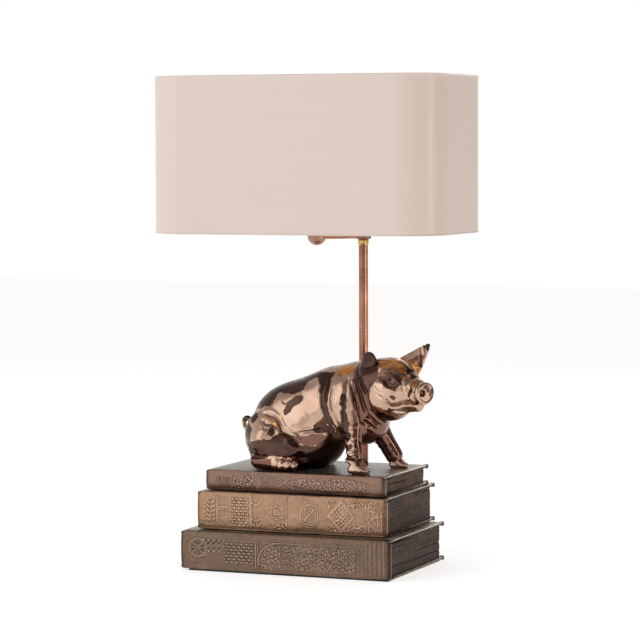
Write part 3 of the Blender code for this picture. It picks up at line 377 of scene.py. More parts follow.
# ---- clay: distance fields on a grid, in millimetres ----
class Clay:
    """A distance field that soft shapes are added to and carved from."""

    MARGIN = 4

    def __init__(self, low, high, step):
        self.step = step
        self.axes = [np.arange(low[i], high[i] + step, step, dtype=np.float32) for i in range(3)]
        self.value = np.full([len(axis) for axis in self.axes], FAR, np.float32)

    def window(self, low, high):
        """The part of the grid inside a box, as slices and open coordinate arrays."""
        spans = []
        for axis, start, end in zip(self.axes, low, high):
            spans.append(slice(np.searchsorted(axis, start), np.searchsorted(axis, end)))
        x, y, z = np.ix_(*(axis[span] for axis, span in zip(self.axes, spans)))
        return tuple(spans), x, y, z

    def add(self, distance, low, high, blend, carve=False):
        """Adds a shape inside a box, or carves it away, with a fillet about as wide as blend."""
        sign = -1 if carve else 1
        spans, x, y, z = self.window(np.subtract(low, blend + self.MARGIN), np.add(high, blend + self.MARGIN))
        old, new = sign * self.value[spans], distance(x, y, z)
        near = np.clip(blend - np.abs(old - new), 0, None) / blend
        self.value[spans] = sign * (np.minimum(old, new) - near * near * blend / 4)

    def mass(self, centre, half_sizes, axes=None, blend=8.0, carve=False):
        """An ellipsoid. axes holds its own three directions as rows."""
        axes = np.eye(3) if axes is None else np.asarray(axes, float)
        rx, ry, rz = half_sizes

        def distance(x, y, z):
            px, py, pz = x - centre[0], y - centre[1], z - centre[2]
            a, b, c = (px * row[0] + py * row[1] + pz * row[2] for row in axes)
            scaled = np.sqrt((a / rx) ** 2 + (b / ry) ** 2 + (c / rz) ** 2)
            slope = np.sqrt((a / rx**2) ** 2 + (b / ry**2) ** 2 + (c / rz**2) ** 2)
            return scaled * (scaled - 1) / np.maximum(slope, 1e-6)

        reach = np.sqrt(((axes * np.array(half_sizes)[:, None]) ** 2).sum(axis=0))
        self.add(distance, np.subtract(centre, reach), np.add(centre, reach), blend, carve)

    def limb(self, chain, blend=6.0, carve=False):
        """Tapered links between balls given as (centre, radius)."""
        centres = np.array([centre for centre, _ in chain], float)
        radii = np.array([radius for _, radius in chain], float)

        def distance(x, y, z):
            best = None
            for (p, q), (r0, r1) in zip(zip(centres, centres[1:]), zip(radii, radii[1:])):
                run = q - p
                dx, dy, dz = x - p[0], y - p[1], z - p[2]
                share = np.clip((dx * run[0] + dy * run[1] + dz * run[2]) / (run @ run), 0, 1)
                gap = np.sqrt((dx - share * run[0]) ** 2 + (dy - share * run[1]) ** 2 + (dz - share * run[2]) ** 2)
                gap = gap - (r0 + (r1 - r0) * share)
                best = gap if best is None else np.minimum(best, gap)
            return best

        low = (centres - radii[:, None]).min(axis=0)
        high = (centres + radii[:, None]).max(axis=0)
        self.add(distance, low, high, blend, carve)

    def floor(self, height):
        """Cuts everything below a height flat."""
        self.value = np.maximum(self.value, height - self.axes[2][None, None, :])

    def surface(self):
        """Points and quads of the zero surface, one point in each grid cell that it crosses."""
        value = self.value
        inside = value < 0
        corners = [(i, j, k) for i in (0, 1) for j in (0, 1) for k in (0, 1)]
        cells = [size - 1 for size in value.shape]

        def at(array, corner):
            return array[tuple(slice(c, c + n) for c, n in zip(corner, cells))]

        filled = sum(at(inside, corner).astype(np.int8) for corner in corners)
        cell = np.argwhere((filled > 0) & (filled < 8))
        total, count = np.zeros((len(cell), 3)), np.zeros(len(cell))
        for first in corners:
            for axis in range(3):
                if first[axis]:
                    continue
                step = np.eye(3, dtype=int)[axis]
                here, there = cell + first, cell + first + step
                a, b = value[tuple(here.T)], value[tuple(there.T)]
                cross = (a < 0) != (b < 0)
                share = np.where(cross, a / np.where(cross, a - b, 1), 0)
                total += np.where(cross[:, None], here + share[:, None] * step, 0)
                count += cross
        places = total / count[:, None] * self.step + [axis[0] for axis in self.axes]
        number = np.full(cells, -1, np.int32)
        number[tuple(cell.T)] = np.arange(len(cell))
        quads = []
        for axis in range(3):
            step = np.eye(3, dtype=int)[axis]
            u, v = np.eye(3, dtype=int)[(axis + 1) % 3], np.eye(3, dtype=int)[(axis + 2) % 3]
            ahead = tuple(slice(s, None) for s in step)
            behind = tuple(slice(None, -1) if s else slice(None) for s in step)
            edge = np.argwhere(inside[behind] != inside[ahead])
            edge = edge[((edge >= u + v) & (edge < cells)).all(axis=1)]
            ring = np.stack([number[tuple((edge - shift).T)] for shift in (u + v, v, 0 * u, u)], axis=1)
            leaving = inside[tuple(edge.T)]
            quads.append(np.where(leaving[:, None], ring, ring[:, ::-1]))
        return places, np.concatenate(quads)


# ---- the pig, in millimetres: x, y and height above the top book ----
PIG_STEP = 0.9
SWELL, DIMPLE = 0.26, 0.05
PIG_LOW, PIG_HIGH = (-104, -64, -6), (154, 56, 148)
HEAD_PIVOT = (60.0, -4.0)
HEAD_YAW = math.radians(-20)
HEAD_AXES = (
    (math.cos(HEAD_YAW), math.sin(HEAD_YAW), 0),
    (-math.sin(HEAD_YAW), math.cos(HEAD_YAW), 0),
    (0, 0, 1),
)
PIG_MASSES = {
    "rump": ((-41, 0, 30), (44, 42, 40), 14),
    "barrel": ((-6, -1, 53), (46, 44, 51), 18),
    "loin": ((-36, -1, 53), (37, 37, 40), 14),
    "withers": ((26, -3, 74), (39, 35, 42), 16),
    "crest": ((54, -4, 95), (24, 19, 27), 12),
    "chest": ((56, -4, 61), (33, 30, 33), 14),
    "belly": ((-6, -1, 26), (33, 39, 27), 12),
    "near_haunch": ((-44, -27, 37), (33, 21, 33), 5),
    "far_haunch": ((-44, 27, 37), (33, 20, 33), 5),
    "near_shoulder": ((48, -24, 74), (19, 15, 27), 9),
    "far_shoulder": ((52, 14, 72), (18, 15, 26), 9),
}
PIG_LIMBS = {
    "neck": (14, ((30, -3, 76), 35), ((72, -7, 92), 29)),
    "near_thigh": (6, ((-44, -31, 34), 25), ((-19, -35, 28), 17)),
    "far_thigh": (6, ((-44, 30, 34), 24), ((-12, 36, 26), 16)),
    "near_shin": (4, ((-16, -37, 24), 13), ((-48, -40, 13), 10)),
    "far_shin": (4, ((-12, 36, 24), 13), ((-44, 41, 13), 10)),
    "near_hock": (4, ((-55, -41, 10), 9.5), ((-32, -44, 8.5), 8.0)),
    "far_hock": (4, ((-46, 41, 10), 9.5), ((-18, 43, 8.5), 8.0)),
    "near_foreleg": (7, ((54, -29, 74), 15), ((56, -34, 52), 12), ((59, -37, 34), 9.2), ((61, -38, 19), 9.2)),
    "far_foreleg": (7, ((57, 16, 60), 16), ((66, 23, 43), 13), ((75, 27, 27), 10.6), ((82, 29, 14), 10.0)),
}
HEAD_MASSES = {
    "skull": ((31, 0, 101), (33, 27, 26.5), 12),
    "brow": ((45, 0, 104), (25, 21, 23.5), 10),
    "jowls": ((40, 0, 83), (26, 25, 25), 10),
    "near_cheek": ((45, -13, 88), (18, 12, 17), 7),
    "far_cheek": ((45, 13, 88), (18, 12, 17), 7),
}
HEAD_LIMBS = {
    "muzzle": (8, ((48, 0, 96), 22.5), ((74.5, 0, 92.5), 14.6)),
    "jaw": (5, ((44, 0, 82), 20), ((71, 0, 78.5), 9.0), ((78.5, 0, 76), 5.8)),
}


def head_place(point):
    """A point of the head's own frame (forward, to the far side, height) in the pig's."""
    forward, aside, height = point
    along, across = HEAD_AXES[0], HEAD_AXES[1]
    return (
        HEAD_PIVOT[0] + forward * along[0] + aside * across[0],
        HEAD_PIVOT[1] + forward * along[1] + aside * across[1],
        height,
    )


def tilted(yaw, pitch=0.0, roll=0.0):
    """Three directions turned about Z, then Y, then X, in degrees, as rows."""
    cz, sz = math.cos(math.radians(yaw)), math.sin(math.radians(yaw))
    cy, sy = math.cos(math.radians(pitch)), math.sin(math.radians(pitch))
    cx, sx = math.cos(math.radians(roll)), math.sin(math.radians(roll))
    turn_z = np.array(((cz, -sz, 0), (sz, cz, 0), (0, 0, 1)))
    turn_y = np.array(((cy, 0, sy), (0, 1, 0), (-sy, 0, cy)))
    turn_x = np.array(((1, 0, 0), (0, cx, -sx), (0, sx, cx)))
    return (turn_z @ turn_y @ turn_x).T


def tail_chain():
    """A curl that leaves the rump, loops once and ends in a thin tip."""
    chain = []
    steps = 26
    for step in range(steps + 1):
        share = step / steps
        angle = math.radians(-60 + 420 * share)
        loop = 9.3 - 3.4 * share
        x = -87 + 0.5 * loop * math.sin(angle) + 4 * (1 - share)
        y = 2 - 7 * share + 0.5 * loop * math.cos(angle)
        chain.append(((x, y, 47 - loop * math.cos(angle)), 3.7 - 1.5 * share))
    return chain


def add_hoof(clay, heel, heading, length, width, height):
    """Two upright claws side by side with a deep cleft between, and a dewclaw pair behind."""
    along = np.array((math.cos(math.radians(heading)), math.sin(math.radians(heading)), 0))
    across = np.array((-along[1], along[0], 0))
    heel = np.array((*heel, 0.0))
    for side in (-1, 1):
        claw = heel + across * side * width * 0.25
        toe = heel + across * side * width * 0.22 + along * length
        wall = (
            (tuple(claw + along * length * 0.16 + (0, 0, height * 0.72)), width * 0.25),
            (tuple(claw + along * length * 0.42 + (0, 0, height * 0.40)), width * 0.30),
            (tuple(toe - along * width * 0.22 + (0, 0, height * 0.16)), width * 0.21),
        )
        sole = (
            (tuple(claw + along * length * 0.14 + (0, 0, height * 0.24)), width * 0.27),
            (tuple(claw + along * length * 0.55 + (0, 0, height * 0.20)), width * 0.27),
        )
        clay.limb(wall, blend=1.0)
        clay.limb(sole, blend=1.5)
        dew = claw - along * width * 0.08 + across * side * width * 0.10
        clay.mass(tuple(dew + (0, 0, height * 0.80)), (2.8, 2.4, 3.6), blend=1.4)
    cleft = ((0.60, 0.70), (0.98, 0.14))
    ends = [tuple(heel + along * length * share + (0, 0, height * rise)) for share, rise in cleft]
    clay.limb([(end, 1.0) for end in ends], blend=0.8, carve=True)


def add_ear(clay, base, tip, face, half_width, point, cup, thickness):
    """A thin leaf from base to tip, cupped towards face. point is (p, q) in half_width * (1 - s ** p) ** q."""
    base, tip, face = (np.array(v, float) for v in (base, tip, face))
    rise = tip - base
    length = np.linalg.norm(rise)
    rise /= length
    face = face - rise * (face @ rise)
    face /= np.linalg.norm(face)
    side = np.cross(rise, face)
    soft = thickness * 0.45

    def distance(x, y, z):
        px, py, pz = x - base[0], y - base[1], z - base[2]
        a, b, c = (px * row[0] + py * row[1] + pz * row[2] for row in (rise, side, face))
        share = np.clip(a / length, 0, 0.999)
        wide = half_width * (1 - share ** point[0]) ** point[1]
        bent = c - cup * ((b / half_width) ** 2 - 0.5 * share)
        thick = thickness * (0.62 - 0.2 * share) / 2 + 0.5 * smooth_step(np.abs(b), wide - 3.2, wide - 1.2)
        over = np.maximum(np.abs(b) - wide + soft, 0) ** 2 + np.maximum(np.abs(bent) - thick, 0) ** 2
        over = over + np.maximum(a - length + soft, 0) ** 2 + np.maximum(-a, 0) ** 2
        return np.sqrt(over) - soft

    reach = half_width + cup + thickness
    clay.add(distance, np.minimum(base, tip) - reach, np.maximum(base, tip) + reach, 3.0)


def pig_clay():
    clay = Clay(PIG_LOW, PIG_HIGH, PIG_STEP)
    for centre, half_sizes, blend in PIG_MASSES.values():
        clay.mass(centre, half_sizes, blend=blend)
    for blend, *chain in PIG_LIMBS.values():
        clay.limb(chain, blend=blend)
    for centre, half_sizes, blend in HEAD_MASSES.values():
        clay.mass(head_place(centre), half_sizes, HEAD_AXES, blend)
    for blend, *chain in HEAD_LIMBS.values():
        clay.limb([(head_place(centre), radius) for centre, radius in chain], blend)
    return clay


# The mouth on the near side, from its corner to the front of the lips, in the head's own frame.
MOUTH = (
    (53.5, 24.6, 81.8), (57, 21.4, 78.6), (61, 18.4, 78.8), (66, 15.2, 80.6), (72, 12.4, 81.6), (78, 9.0, 81.4),
    (83, 0, 80.6),
)
SNOUT_AXES = tilted(-20, -4)


def add_face(clay):
    """Snout, mouth, eyes and ears, in the head's own frame."""
    clay.limb([(head_place((70, 0, 93)), 14.0), (head_place((81, 0, 92)), 11.6)], 5)
    clay.mass(head_place((86.5, 0, 91.4)), (3.4, 14.2, 12.6), SNOUT_AXES, 1.2)
    rim, groove = [], []
    for step in range(25):
        y, z = math.cos(2 * math.pi * step / 24), math.sin(2 * math.pi * step / 24)
        rim.append((head_place((88.0 - 0.12 * z, 12.3 * y, 91.4 + 10.7 * z)), 2.2))
        groove.append((head_place((82.6, 14.4 * y, 91.6 + 13.0 * z)), 1.5))
    clay.limb(rim, 1.2)
    clay.limb(groove, 1.4, carve=True)
    for side in (-1, 1):
        clay.mass(head_place((90.4, side * 6.0, 92.4)), (3.8, 2.6, 3.7), HEAD_AXES, 1.2, carve=True)
        # Lips: a full lower lip under a carved line that ends in a dimple.
        lip = [(head_place((a, side * (b - 1.3), h - 3.0)), 2.6) for a, b, h in MOUTH[1:]]
        clay.limb(lip, 2.5)
        clay.limb([(head_place((a, side * b, h)), 1.5) for a, b, h in MOUTH], 1.2, carve=True)
        clay.mass(head_place((53.5, side * 25.2, 82.4)), (2.8, 2.4, 2.2), HEAD_AXES, 1.6, carve=True)
        # Eyes: a shallow socket, the ball and two lids.
        clay.mass(head_place((58.5, side * 23.5, 106)), (8.5, 3.6, 6.0), HEAD_AXES, 4.0, carve=True)
        clay.mass(head_place((58.8, side * 18.6, 105.6)), (3.6, 3.2, 3.2), HEAD_AXES, 0.8)
        for rise, radius in ((3.7, 1.35), (-3.0, 1.1)):
            lid = (
                (head_place((52.6, side * 21.2, 106.2)), radius * 0.7),
                (head_place((55.6, side * 21.6, 106 + rise * 0.8)), radius),
                (head_place((59.0, side * 20.9, 105.8 + rise)), radius),
                (head_place((62.2, side * 19.3, 105.0 + rise * 0.7)), radius),
                (head_place((65.0, side * 17.2, 103.6)), radius * 0.7),
            )
            clay.limb(lid, 1.2)
    add_ear(clay, (69, -23, 98), (75.5, -27, 136), (0.10, 0.97, 0.12), 10.8, (3.2, 0.5), 4.0, 4.2)
    add_ear(clay, (108.5, 12.5, 117), (127.5, 24, 143.5), (0.06, -0.96, 0.25), 14.5, (1.0, 0.8), 3.4, 4.0)


def add_feet(clay):
    add_hoof(clay, (56.5, -40), 6, 22, 20, 19)
    add_hoof(clay, (78.5, 28.5), 16, 20, 17, 16)
    knobs = ((58, -43, 27, 4.6), (64, -41, 24, 4.2), (55, -39, 31, 5.0), (62, -37, 33, 4.4), (60, -44, 20, 4.0))
    for x, y, height, radius in knobs + ((80, 26, 23, 4.2), (77, 30, 27, 4.4), (84, 27, 18, 3.8)):
        clay.mass((x, y, height), (radius, radius * 0.8, radius * 0.8), tilted(20 * x, 25), 2.0)
    for side, shift in ((-1, 0), (1, 12)):
        toes = ((-31, 46, 8.0, 6.3), (-24, 48.5, 7.4, 6.4), (-16, 48, 7.0, 6.2), (-9.5, 44.5, 6.2, 5.6))
        for x, y, height, radius in toes:
            centre = (x + shift, side * (y if side < 0 else y - 4), height)
            clay.mass(centre, (radius * 0.78, radius, radius * 1.12), tilted(0, 18), 1.6)
        for x, y, height in ((-25, 41, 14.5), (-17, 41, 13.5)):
            clay.mass((x + shift, side * y, height), (4.2, 4.0, 4.6), blend=2.2)


# Creases seen from the side, as (x, height) paths with a depth and a width.
SIDE_CREASES = (
    (((-54, 64), (-46, 63), (-38, 60.5), (-30, 55), (-23, 45), (-13, 38.5), (-3, 28)), 2.0, 2.3),
    (((-50, 57), (-43, 53), (-36, 52), (-29, 47)), 1.5, 1.9),
    (((-47, 51), (-41, 47.5), (-34, 46.5)), 1.0, 1.5),
    (((25, 106), (22, 91), (23, 78), (28, 61), (31, 48)), 1.3, 1.7),
    (((31, 105), (27, 88), (27.5, 75), (32, 60), (36, 46)), 1.3, 1.7),
    (((34, 100), (33, 84), (36, 66), (40, 52)), 0.7, 1.4),
    (((46, 110), (49.5, 104), (50.5, 92), (48.5, 80), (47.5, 66), (48, 54)), 1.5, 2.2),
    (((51, 110), (56, 98), (61.5, 84), (67, 70), (69, 56)), 1.2, 1.8),
    (((55, 112), (62, 99), (68, 87), (71.5, 76), (73.5, 64)), 1.2, 1.8),
    (((61, 114), (69.5, 102), (75.5, 90), (78.5, 79), (80, 69)), 1.3, 1.8),
    (((57, 100), (62, 88), (66, 78), (67.5, 66)), 0.8, 1.4),
    (((65, 108), (72, 95), (76, 84), (77, 72)), 0.8, 1.4),
    (((68, 60), (75, 52), (81, 46)), 1.0, 1.7),
    (((72, 66), (79, 57), (84.5, 50.5)), 1.2, 1.7),
    (((77, 72), (83.5, 63.5), (89, 55)), 1.2, 1.7),
    (((-16, 43.5), (-3, 43.5), (11, 45), (22, 48.5)), 1.0, 1.5),
    (((47, 47), (54, 43.5), (62, 45)), 1.1, 1.6),
    (((48, 40), (55, 37), (64, 38.5)), 0.9, 1.5),
    (((49, 27), (57, 25), (67, 27)), 0.9, 1.5),
    (((50, 21), (59, 18.5), (70, 21)), 0.8, 1.4),
    (((-70, 22), (-60, 16), (-48, 15), (-38, 17)), 1.4, 1.8),
    (((-66, 30), (-62, 24), (-56, 20)), 0.8, 1.5),
)
# The same on the head, as (forward, height) paths.
HEAD_CREASES = (
    ((69.5, 100.5), (70.5, 94), (70, 87)),
    ((75.2, 100.5), (76.4, 93), (75.8, 85)),
    ((80.6, 100.5), (81.6, 92), (81, 83)),
    ((40, 92), (46, 87.5), (52, 84.5)),
    ((37, 98), (43, 93.5), (50, 92)),
    ((49, 97.5), (55, 96.5), (61, 98.5)),
    ((50, 100.5), (56, 99.2), (63, 100.5)),
    ((48, 113.5), (54, 115.5), (61, 112.5)),
    ((50, 117.5), (56, 119), (63, 115.5)),
    ((44, 109), (47, 106.5), (51, 105.8)),
    ((58, 71), (65, 70.5), (72, 72.5)),
)
# Folds across the top of the snout, by how far forward they are.
SNOUT_FOLDS = (68.5, 74.8, 80.6)


def crease_map(points, normals):
    """How deep each point sinks into a crease, in millimetres, and how much painted shade the crease gets, from 0 to
    1.
    """
    sink, shade = np.zeros(len(points)), np.zeros(len(points))
    wobble = np.stack([ripple(points, 9, 31), ripple(points, 9, 32)], axis=1) * 0.9

    def press(s, t, path, depth, width, mask):
        nonlocal sink, shade
        gap, along = gap_to_path(s, t, path)
        fade = np.clip(np.sin(math.pi * np.clip(along, 0.02, 0.98)) * 2.2, 0, 1) * mask
        # A crease with a low swelling on each side of it.
        sink = sink + depth * fade * (ridge(gap, width) - 0.42 * ridge(gap - 2.1 * width, width))
        shade = np.maximum(shade, fade * ridge(gap, 0.55 * width) * min(1.0, depth / 1.3))

    sideways = smooth_step(np.abs(normals[:, 1]), 0.15, 0.5)
    body_only = smooth_step(gap_head(points), -2, 6)
    for path, depth, width in SIDE_CREASES:
        press(points[:, 0] + wobble[:, 0], points[:, 2] + wobble[:, 1], path, depth, width, sideways * body_only)
    local = head_local(points)
    local_normals = normals @ np.array(HEAD_AXES).T
    cheekward = smooth_step(np.abs(local_normals[:, 1]), 0.2, 0.5)
    on_head = (local[:, 0] > 30) & (points[:, 2] > 60)
    for path in HEAD_CREASES:
        press(local[:, 0], local[:, 2], path, 0.65, 1.25, cheekward * on_head)
    gap, _ = gap_to_path(local[:, 0], local[:, 2], [(a, h) for a, _, h in MOUTH])
    shade = np.maximum(shade, ridge(gap, 1.1) * on_head * (np.abs(local[:, 1]) > 3))
    upward = smooth_step(local_normals[:, 2], 0.1, 0.5) * on_head
    for forward in SNOUT_FOLDS:
        bend = forward - 0.012 * local[:, 1] ** 2
        gap = np.abs(local[:, 0] - bend)
        sink = sink + 0.65 * upward * (ridge(gap, 1.2) - 0.4 * ridge(gap - 2.5, 1.2))
        shade = np.maximum(shade, 0.8 * upward * ridge(gap, 0.7))
    return sink, shade


def head_local(points):
    shifted = points - np.array((*HEAD_PIVOT, 0))
    return shifted @ np.array(HEAD_AXES).T


def gap_head(points):
    """Below zero on the face, where the body's creases stop."""
    local = head_local(points)
    return 34 - local[:, 0] + 0.35 * (94 - local[:, 2])


def patch(points, outline, seed):
    """A ramp from 0 outside to 1 inside a ragged patch on the pig's flank, as an (x, height) outline in mm."""
    s = points[:, 0] + 1.1 * ripple(points, 7, seed) + 0.6 * ripple(points, 2.8, seed + 1)
    t = points[:, 2] + 1.1 * ripple(points, 7, seed + 2) + 0.6 * ripple(points, 2.8, seed + 3)
    gap, _ = gap_to_path(s, t, outline + outline[:1])
    crossings = np.zeros(len(s), bool)
    for (x0, z0), (x1, z1) in zip(outline, outline[1:] + outline[:1]):
        if z0 != z1:
            crossings ^= ((z0 > t) != (z1 > t)) & (s < x0 + (t - z0) * (x1 - x0) / (z1 - z0))
    return np.clip(0.5 + np.where(crossings, gap, -gap) / 3.0, 0, 1)


# Patches of painted reflection and shade: the tone that they raise, the side that they are on (0 for both) and their
# (x, height) outline.
PATCHES = (
    ("dark", 0, [
        (-110, 40), (-72, 58), (-61, 66), (-54, 70), (-43, 73), (-39, 79), (-37, 85), (-32, 87), (-21, 86),
        (-13, 87), (-6, 91), (-1, 95), (0, 100), (5, 103), (12, 104), (17, 96), (19, 88), (22, 88), (24, 100),
        (31, 106), (30, 112), (13, 110.5), (-1, 107), (-12, 103.5), (-22, 100.5), (-34, 98.5), (-60, 92),
        (-110, 70),
    ]),
    ("dark", -1, [
        (-24, 67), (-23, 76), (-19, 79), (-10, 84), (-3, 86), (-2, 82), (-5, 77), (-13, 69), (-19, 63), (-23, 64),
    ]),
    ("dark", -1, [(11, 47), (13, 53), (21, 58), (25, 63), (28, 61), (29, 53), (36, 46), (24, 44), (15, 44)]),
    ("dark", -1, [(-40, 43), (-39, 48), (-35, 50), (-31, 43), (-35, 39)]),
    ("dark", -1, [(-28, 77), (-24, 73), (-22, 75), (-28, 80)]),
    ("dark", -1, [
        (20, 106), (19, 94), (20, 81), (24, 68), (28, 55), (32, 43), (35, 46), (33, 62), (30, 78), (30, 91),
        (31, 111),
    ]),
    ("dark", -1, [
        (45, 88), (51, 89), (54, 82), (54, 69), (56, 60), (56, 50), (59, 40), (56, 35), (49, 39), (46, 47),
        (45, 62), (46, 76),
    ]),
    ("dark", -1, [
        (-72, 58), (-61, 52), (-55, 59), (-58, 63), (-72, 66), (-78, 50), (-70, 32), (-63, 33), (-61, 45),
    ]),
    ("dark", -1, [
        (-78, 30), (-54, 34), (-38, 37), (-30, 40), (-20, 44), (-9, 36), (-3, 30), (11, 27), (20, 33), (28, 33),
        (46, 36), (46, -4), (-4, -4), (-10, 13), (-34, 17), (-56, 12), (-78, 10),
    ]),
    ("dark", -1, [(58, 118), (60, 88), (80, 92), (90, 110), (84, 140), (58, 140)]),
    ("dark", -1, [
        (84, 107), (92, 104), (98, 103), (102, 97), (110, 94), (114, 98), (119, 101), (117, 108), (109, 113),
        (103, 114), (99, 109), (91, 111),
    ]),
    ("dark", -1, [(126, 92), (131, 98), (133, 95), (130, 88), (126, 87)]),
    ("dark", -1, [(104, 86), (107, 90), (113, 87), (109, 84)]),
    ("dark", -1, [(121, 122), (127, 116), (134, 110), (130, 106), (123, 112), (118, 120)]),
    ("dark", 1, [(-40, 84), (-20, 90), (-4, 76), (-16, 60), (-36, 64)]),
    ("dark", 1, [(6, 66), (24, 74), (34, 58), (22, 46), (8, 50)]),
    ("dark", 1, [(-78, 34), (-40, 38), (-18, 44), (2, 32), (30, 30), (46, 34), (46, -4), (-78, -4)]),
    ("dark", 0, [(121, 150), (121.5, 139), (127, 134), (140, 132), (140, 150)]),
    ("mid", -1, [
        (56, 120), (70, 112), (80, 100), (79, 84), (88, 73), (101, 66), (110, 60), (92, 48), (80, 40), (66, 38),
        (62, 52), (60, 75), (56, 96),
    ]),
    ("mid", -1, [(84, 106), (95, 119), (110, 117), (120, 106), (112, 98), (98, 99)]),
    ("mid", 0, [(60, 56), (96, 56), (96, 8), (66, 8)]),
    ("mid", -1, [(-24, 42), (-6, 40), (10, 42), (30, 42), (36, 34), (26, 32), (6, 27), (-8, 34)]),
    ("mid", -1, [(-62, 12), (-34, 14), (-36, -4), (-62, -4)]),
    ("mid", 1, [(40, 96), (66, 104), (100, 100), (100, 60), (50, 56)]),
    ("mid", 0, [(100, 116), (114, 110), (122, 118), (122, 132), (108, 126)]),
    ("gold", -1, [(31, 113), (40, 118), (54, 118), (58, 114), (50, 108), (38, 107)]),
    ("gold", -1, [(-49, 60), (-40, 58), (-33, 56), (-26, 54), (-24, 49), (-31, 50), (-38, 53), (-46, 56)]),
    ("gold", -1, [
        (84, 126), (100, 129), (114, 125), (119, 120), (124, 113), (126, 106), (122, 106), (116, 113), (107, 117),
        (97, 118), (88, 119),
    ]),
    ("gold", -1, [(126, 103), (131, 107), (137, 105), (134, 98), (130, 94), (127, 97)]),
    ("gold", 1, [(20, 108), (44, 116), (52, 100), (26, 96)]),
)


def tone_map(points, normals):
    """Painted dark reflections, painted brown shade and painted warm reflections, each from 0 to 1."""
    tones = {kind: np.zeros(len(points)) for kind in ("dark", "mid", "gold")}
    for number, (kind, side, outline) in enumerate(PATCHES):
        facing = smooth_step(normals[:, 1] * side, -0.25, 0.0) if side else 1.0
        tones[kind] = np.maximum(tones[kind], patch(points, outline, 600 + 5 * number) * facing)
    local = head_local(points)
    # The snout disc's far edge gets painted shade, and the nostrils get painted brown shade.
    disc = smooth_step(local[:, 0], 83.5, 85.5)
    far_edge = disc * smooth_step(local[:, 1], 7.5, 10.5)
    nostril_gap = np.hypot((np.abs(local[:, 1]) - 6.0) / 3.0, (local[:, 2] - 92.4) / 4.0)
    nostrils = disc * smooth_step(-nostril_gap, -1.25, -0.9)
    tones["dark"] = np.maximum(tones["dark"], far_edge)
    tones["mid"] = np.maximum(tones["mid"], nostrils)
    eyeball = np.linalg.norm(local - (59.2, -20.6, 105.4), axis=1)
    tones["dark"] = tones["dark"] * smooth_step(eyeball, 2.2, 3.4)
    feet = smooth_step(-points[:, 2], -44, -26) * (points[:, 0] > 48)
    mottle = smooth_step(ripple(points, 6.5, 591) + 0.5 * ripple(points, 3, 592), 0.15, 0.5)
    tones["dark"] = np.maximum(tones["dark"], 0.9 * feet * mottle * smooth_step(points[:, 2], 11, 17))
    toes = (points[:, 2] < 15) & (points[:, 0] > -35) & (points[:, 0] < 2) & (np.abs(points[:, 1]) > 33)
    for kind in tones:
        tones[kind] = np.where(toes, 0, tones[kind])
    return tones


def make_pig():
    clay = pig_clay()
    add_feet(clay)
    add_face(clay)
    clay.limb(tail_chain(), 1.5)
    clay.floor(0.0)
    points, quads = clay.surface()
    base = np.array((0, 0, low_of("pig")[2]))
    draft = make_piece("pig_draft", points, quads, PIG_BRONZE)
    even = draft.modifiers.new("even", "SMOOTH")
    even.factor = 0.5
    even.iterations = 2
    bpy.context.view_layer.update()
    mesh = draft.evaluated_get(bpy.context.evaluated_depsgraph_get()).data
    points = np.empty(len(mesh.vertices) * 3)
    normals = np.empty(len(mesh.vertices) * 3)
    mesh.vertices.foreach_get("co", points)
    mesh.vertex_normals.foreach_get("vector", normals)
    points, normals = points.reshape(-1, 3) / MM, normals.reshape(-1, 3)
    bpy.data.objects.remove(draft)
    sink, crease = crease_map(points, normals)
    swell = SWELL * ripple(points, 15, 21) + DIMPLE * ripple(points, 4, 22)
    floor_fade = smooth_step(points[:, 2], 0.5, 5)
    tones = tone_map(points, normals)
    points = points + normals * ((swell - sink) * floor_fade)[:, None] + base
    pig = make_piece("pig_casting", points, quads, PIG_BRONZE, 180, crease=crease, **tones)
    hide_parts("pig")
    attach(pig, "base")


make_pig()


# ---- books, in millimetres: u runs along the spine from its left end, v up it ----
# reach lengthens a book's left half beyond its CAD solid.
BOOKS = {
    "book_bottom": {"reach": 5.5, "size": (247.4, 174.7, 43.2), "yaw": 0.0, "surface": SPINE_BOTTOM},
    "book_middle": {"reach": 4.0, "size": (223.7, 163.2, 42.7), "yaw": 0.76, "surface": SPINE_MIDDLE},
    "book_top": {"reach": 4.0, "size": (214.6, 137.3, 22.5), "yaw": -0.6, "surface": SPINE_TOP},
}
BOARD = 2.1
# The bead along each board's fore edge, and the knob at its two ends.
BEAD, KNOB_SWELL, KNOB_LENGTH, KNOB_FADE = 1.75, 1.1, 3.6, 5.0
SPINE_DEPTH, SPINE_BULGE = 8.0, 3.5
# How far the page block stands back at the ends and at the fore edge, and the grid on its sides.
PAGE_END, PAGE_BACK, PAGE_STEP, SHEET = 2.5, 8.0, 2.5, 0.36
# How far the spine's and the boards' ends are rounded over, and the board's inner face.
END_ROUND, BOARD_ROUND, INNER_ROUND = 3.4, 0.9, 0.3
# The groove where each board hinges: its distance from the front, width and depth.
HINGE, HINGE_WIDTH, HINGE_DEPTH = 13.5, 2.6, 0.8
RELIEF = 0.75
CELL = 0.55


def inside(u, low, high, soft=1.0):
    return smooth_step(u, low - soft, low + soft) * smooth_step(-u, -high - soft, -high + soft)


def filigree(u, v, seed, size=3.4):
    """Curling tendrils: the level lines of a smooth random field, with small leaves between."""
    plane = np.stack([u, v], axis=-1)
    tendril = ridge(ripple(plane, size, seed, 14), 0.17)
    leaf = smooth_step(ripple(plane, size * 0.62, seed + 1, 14), 0.42, 0.75)
    return np.clip(tendril + 0.85 * leaf, 0, 1)


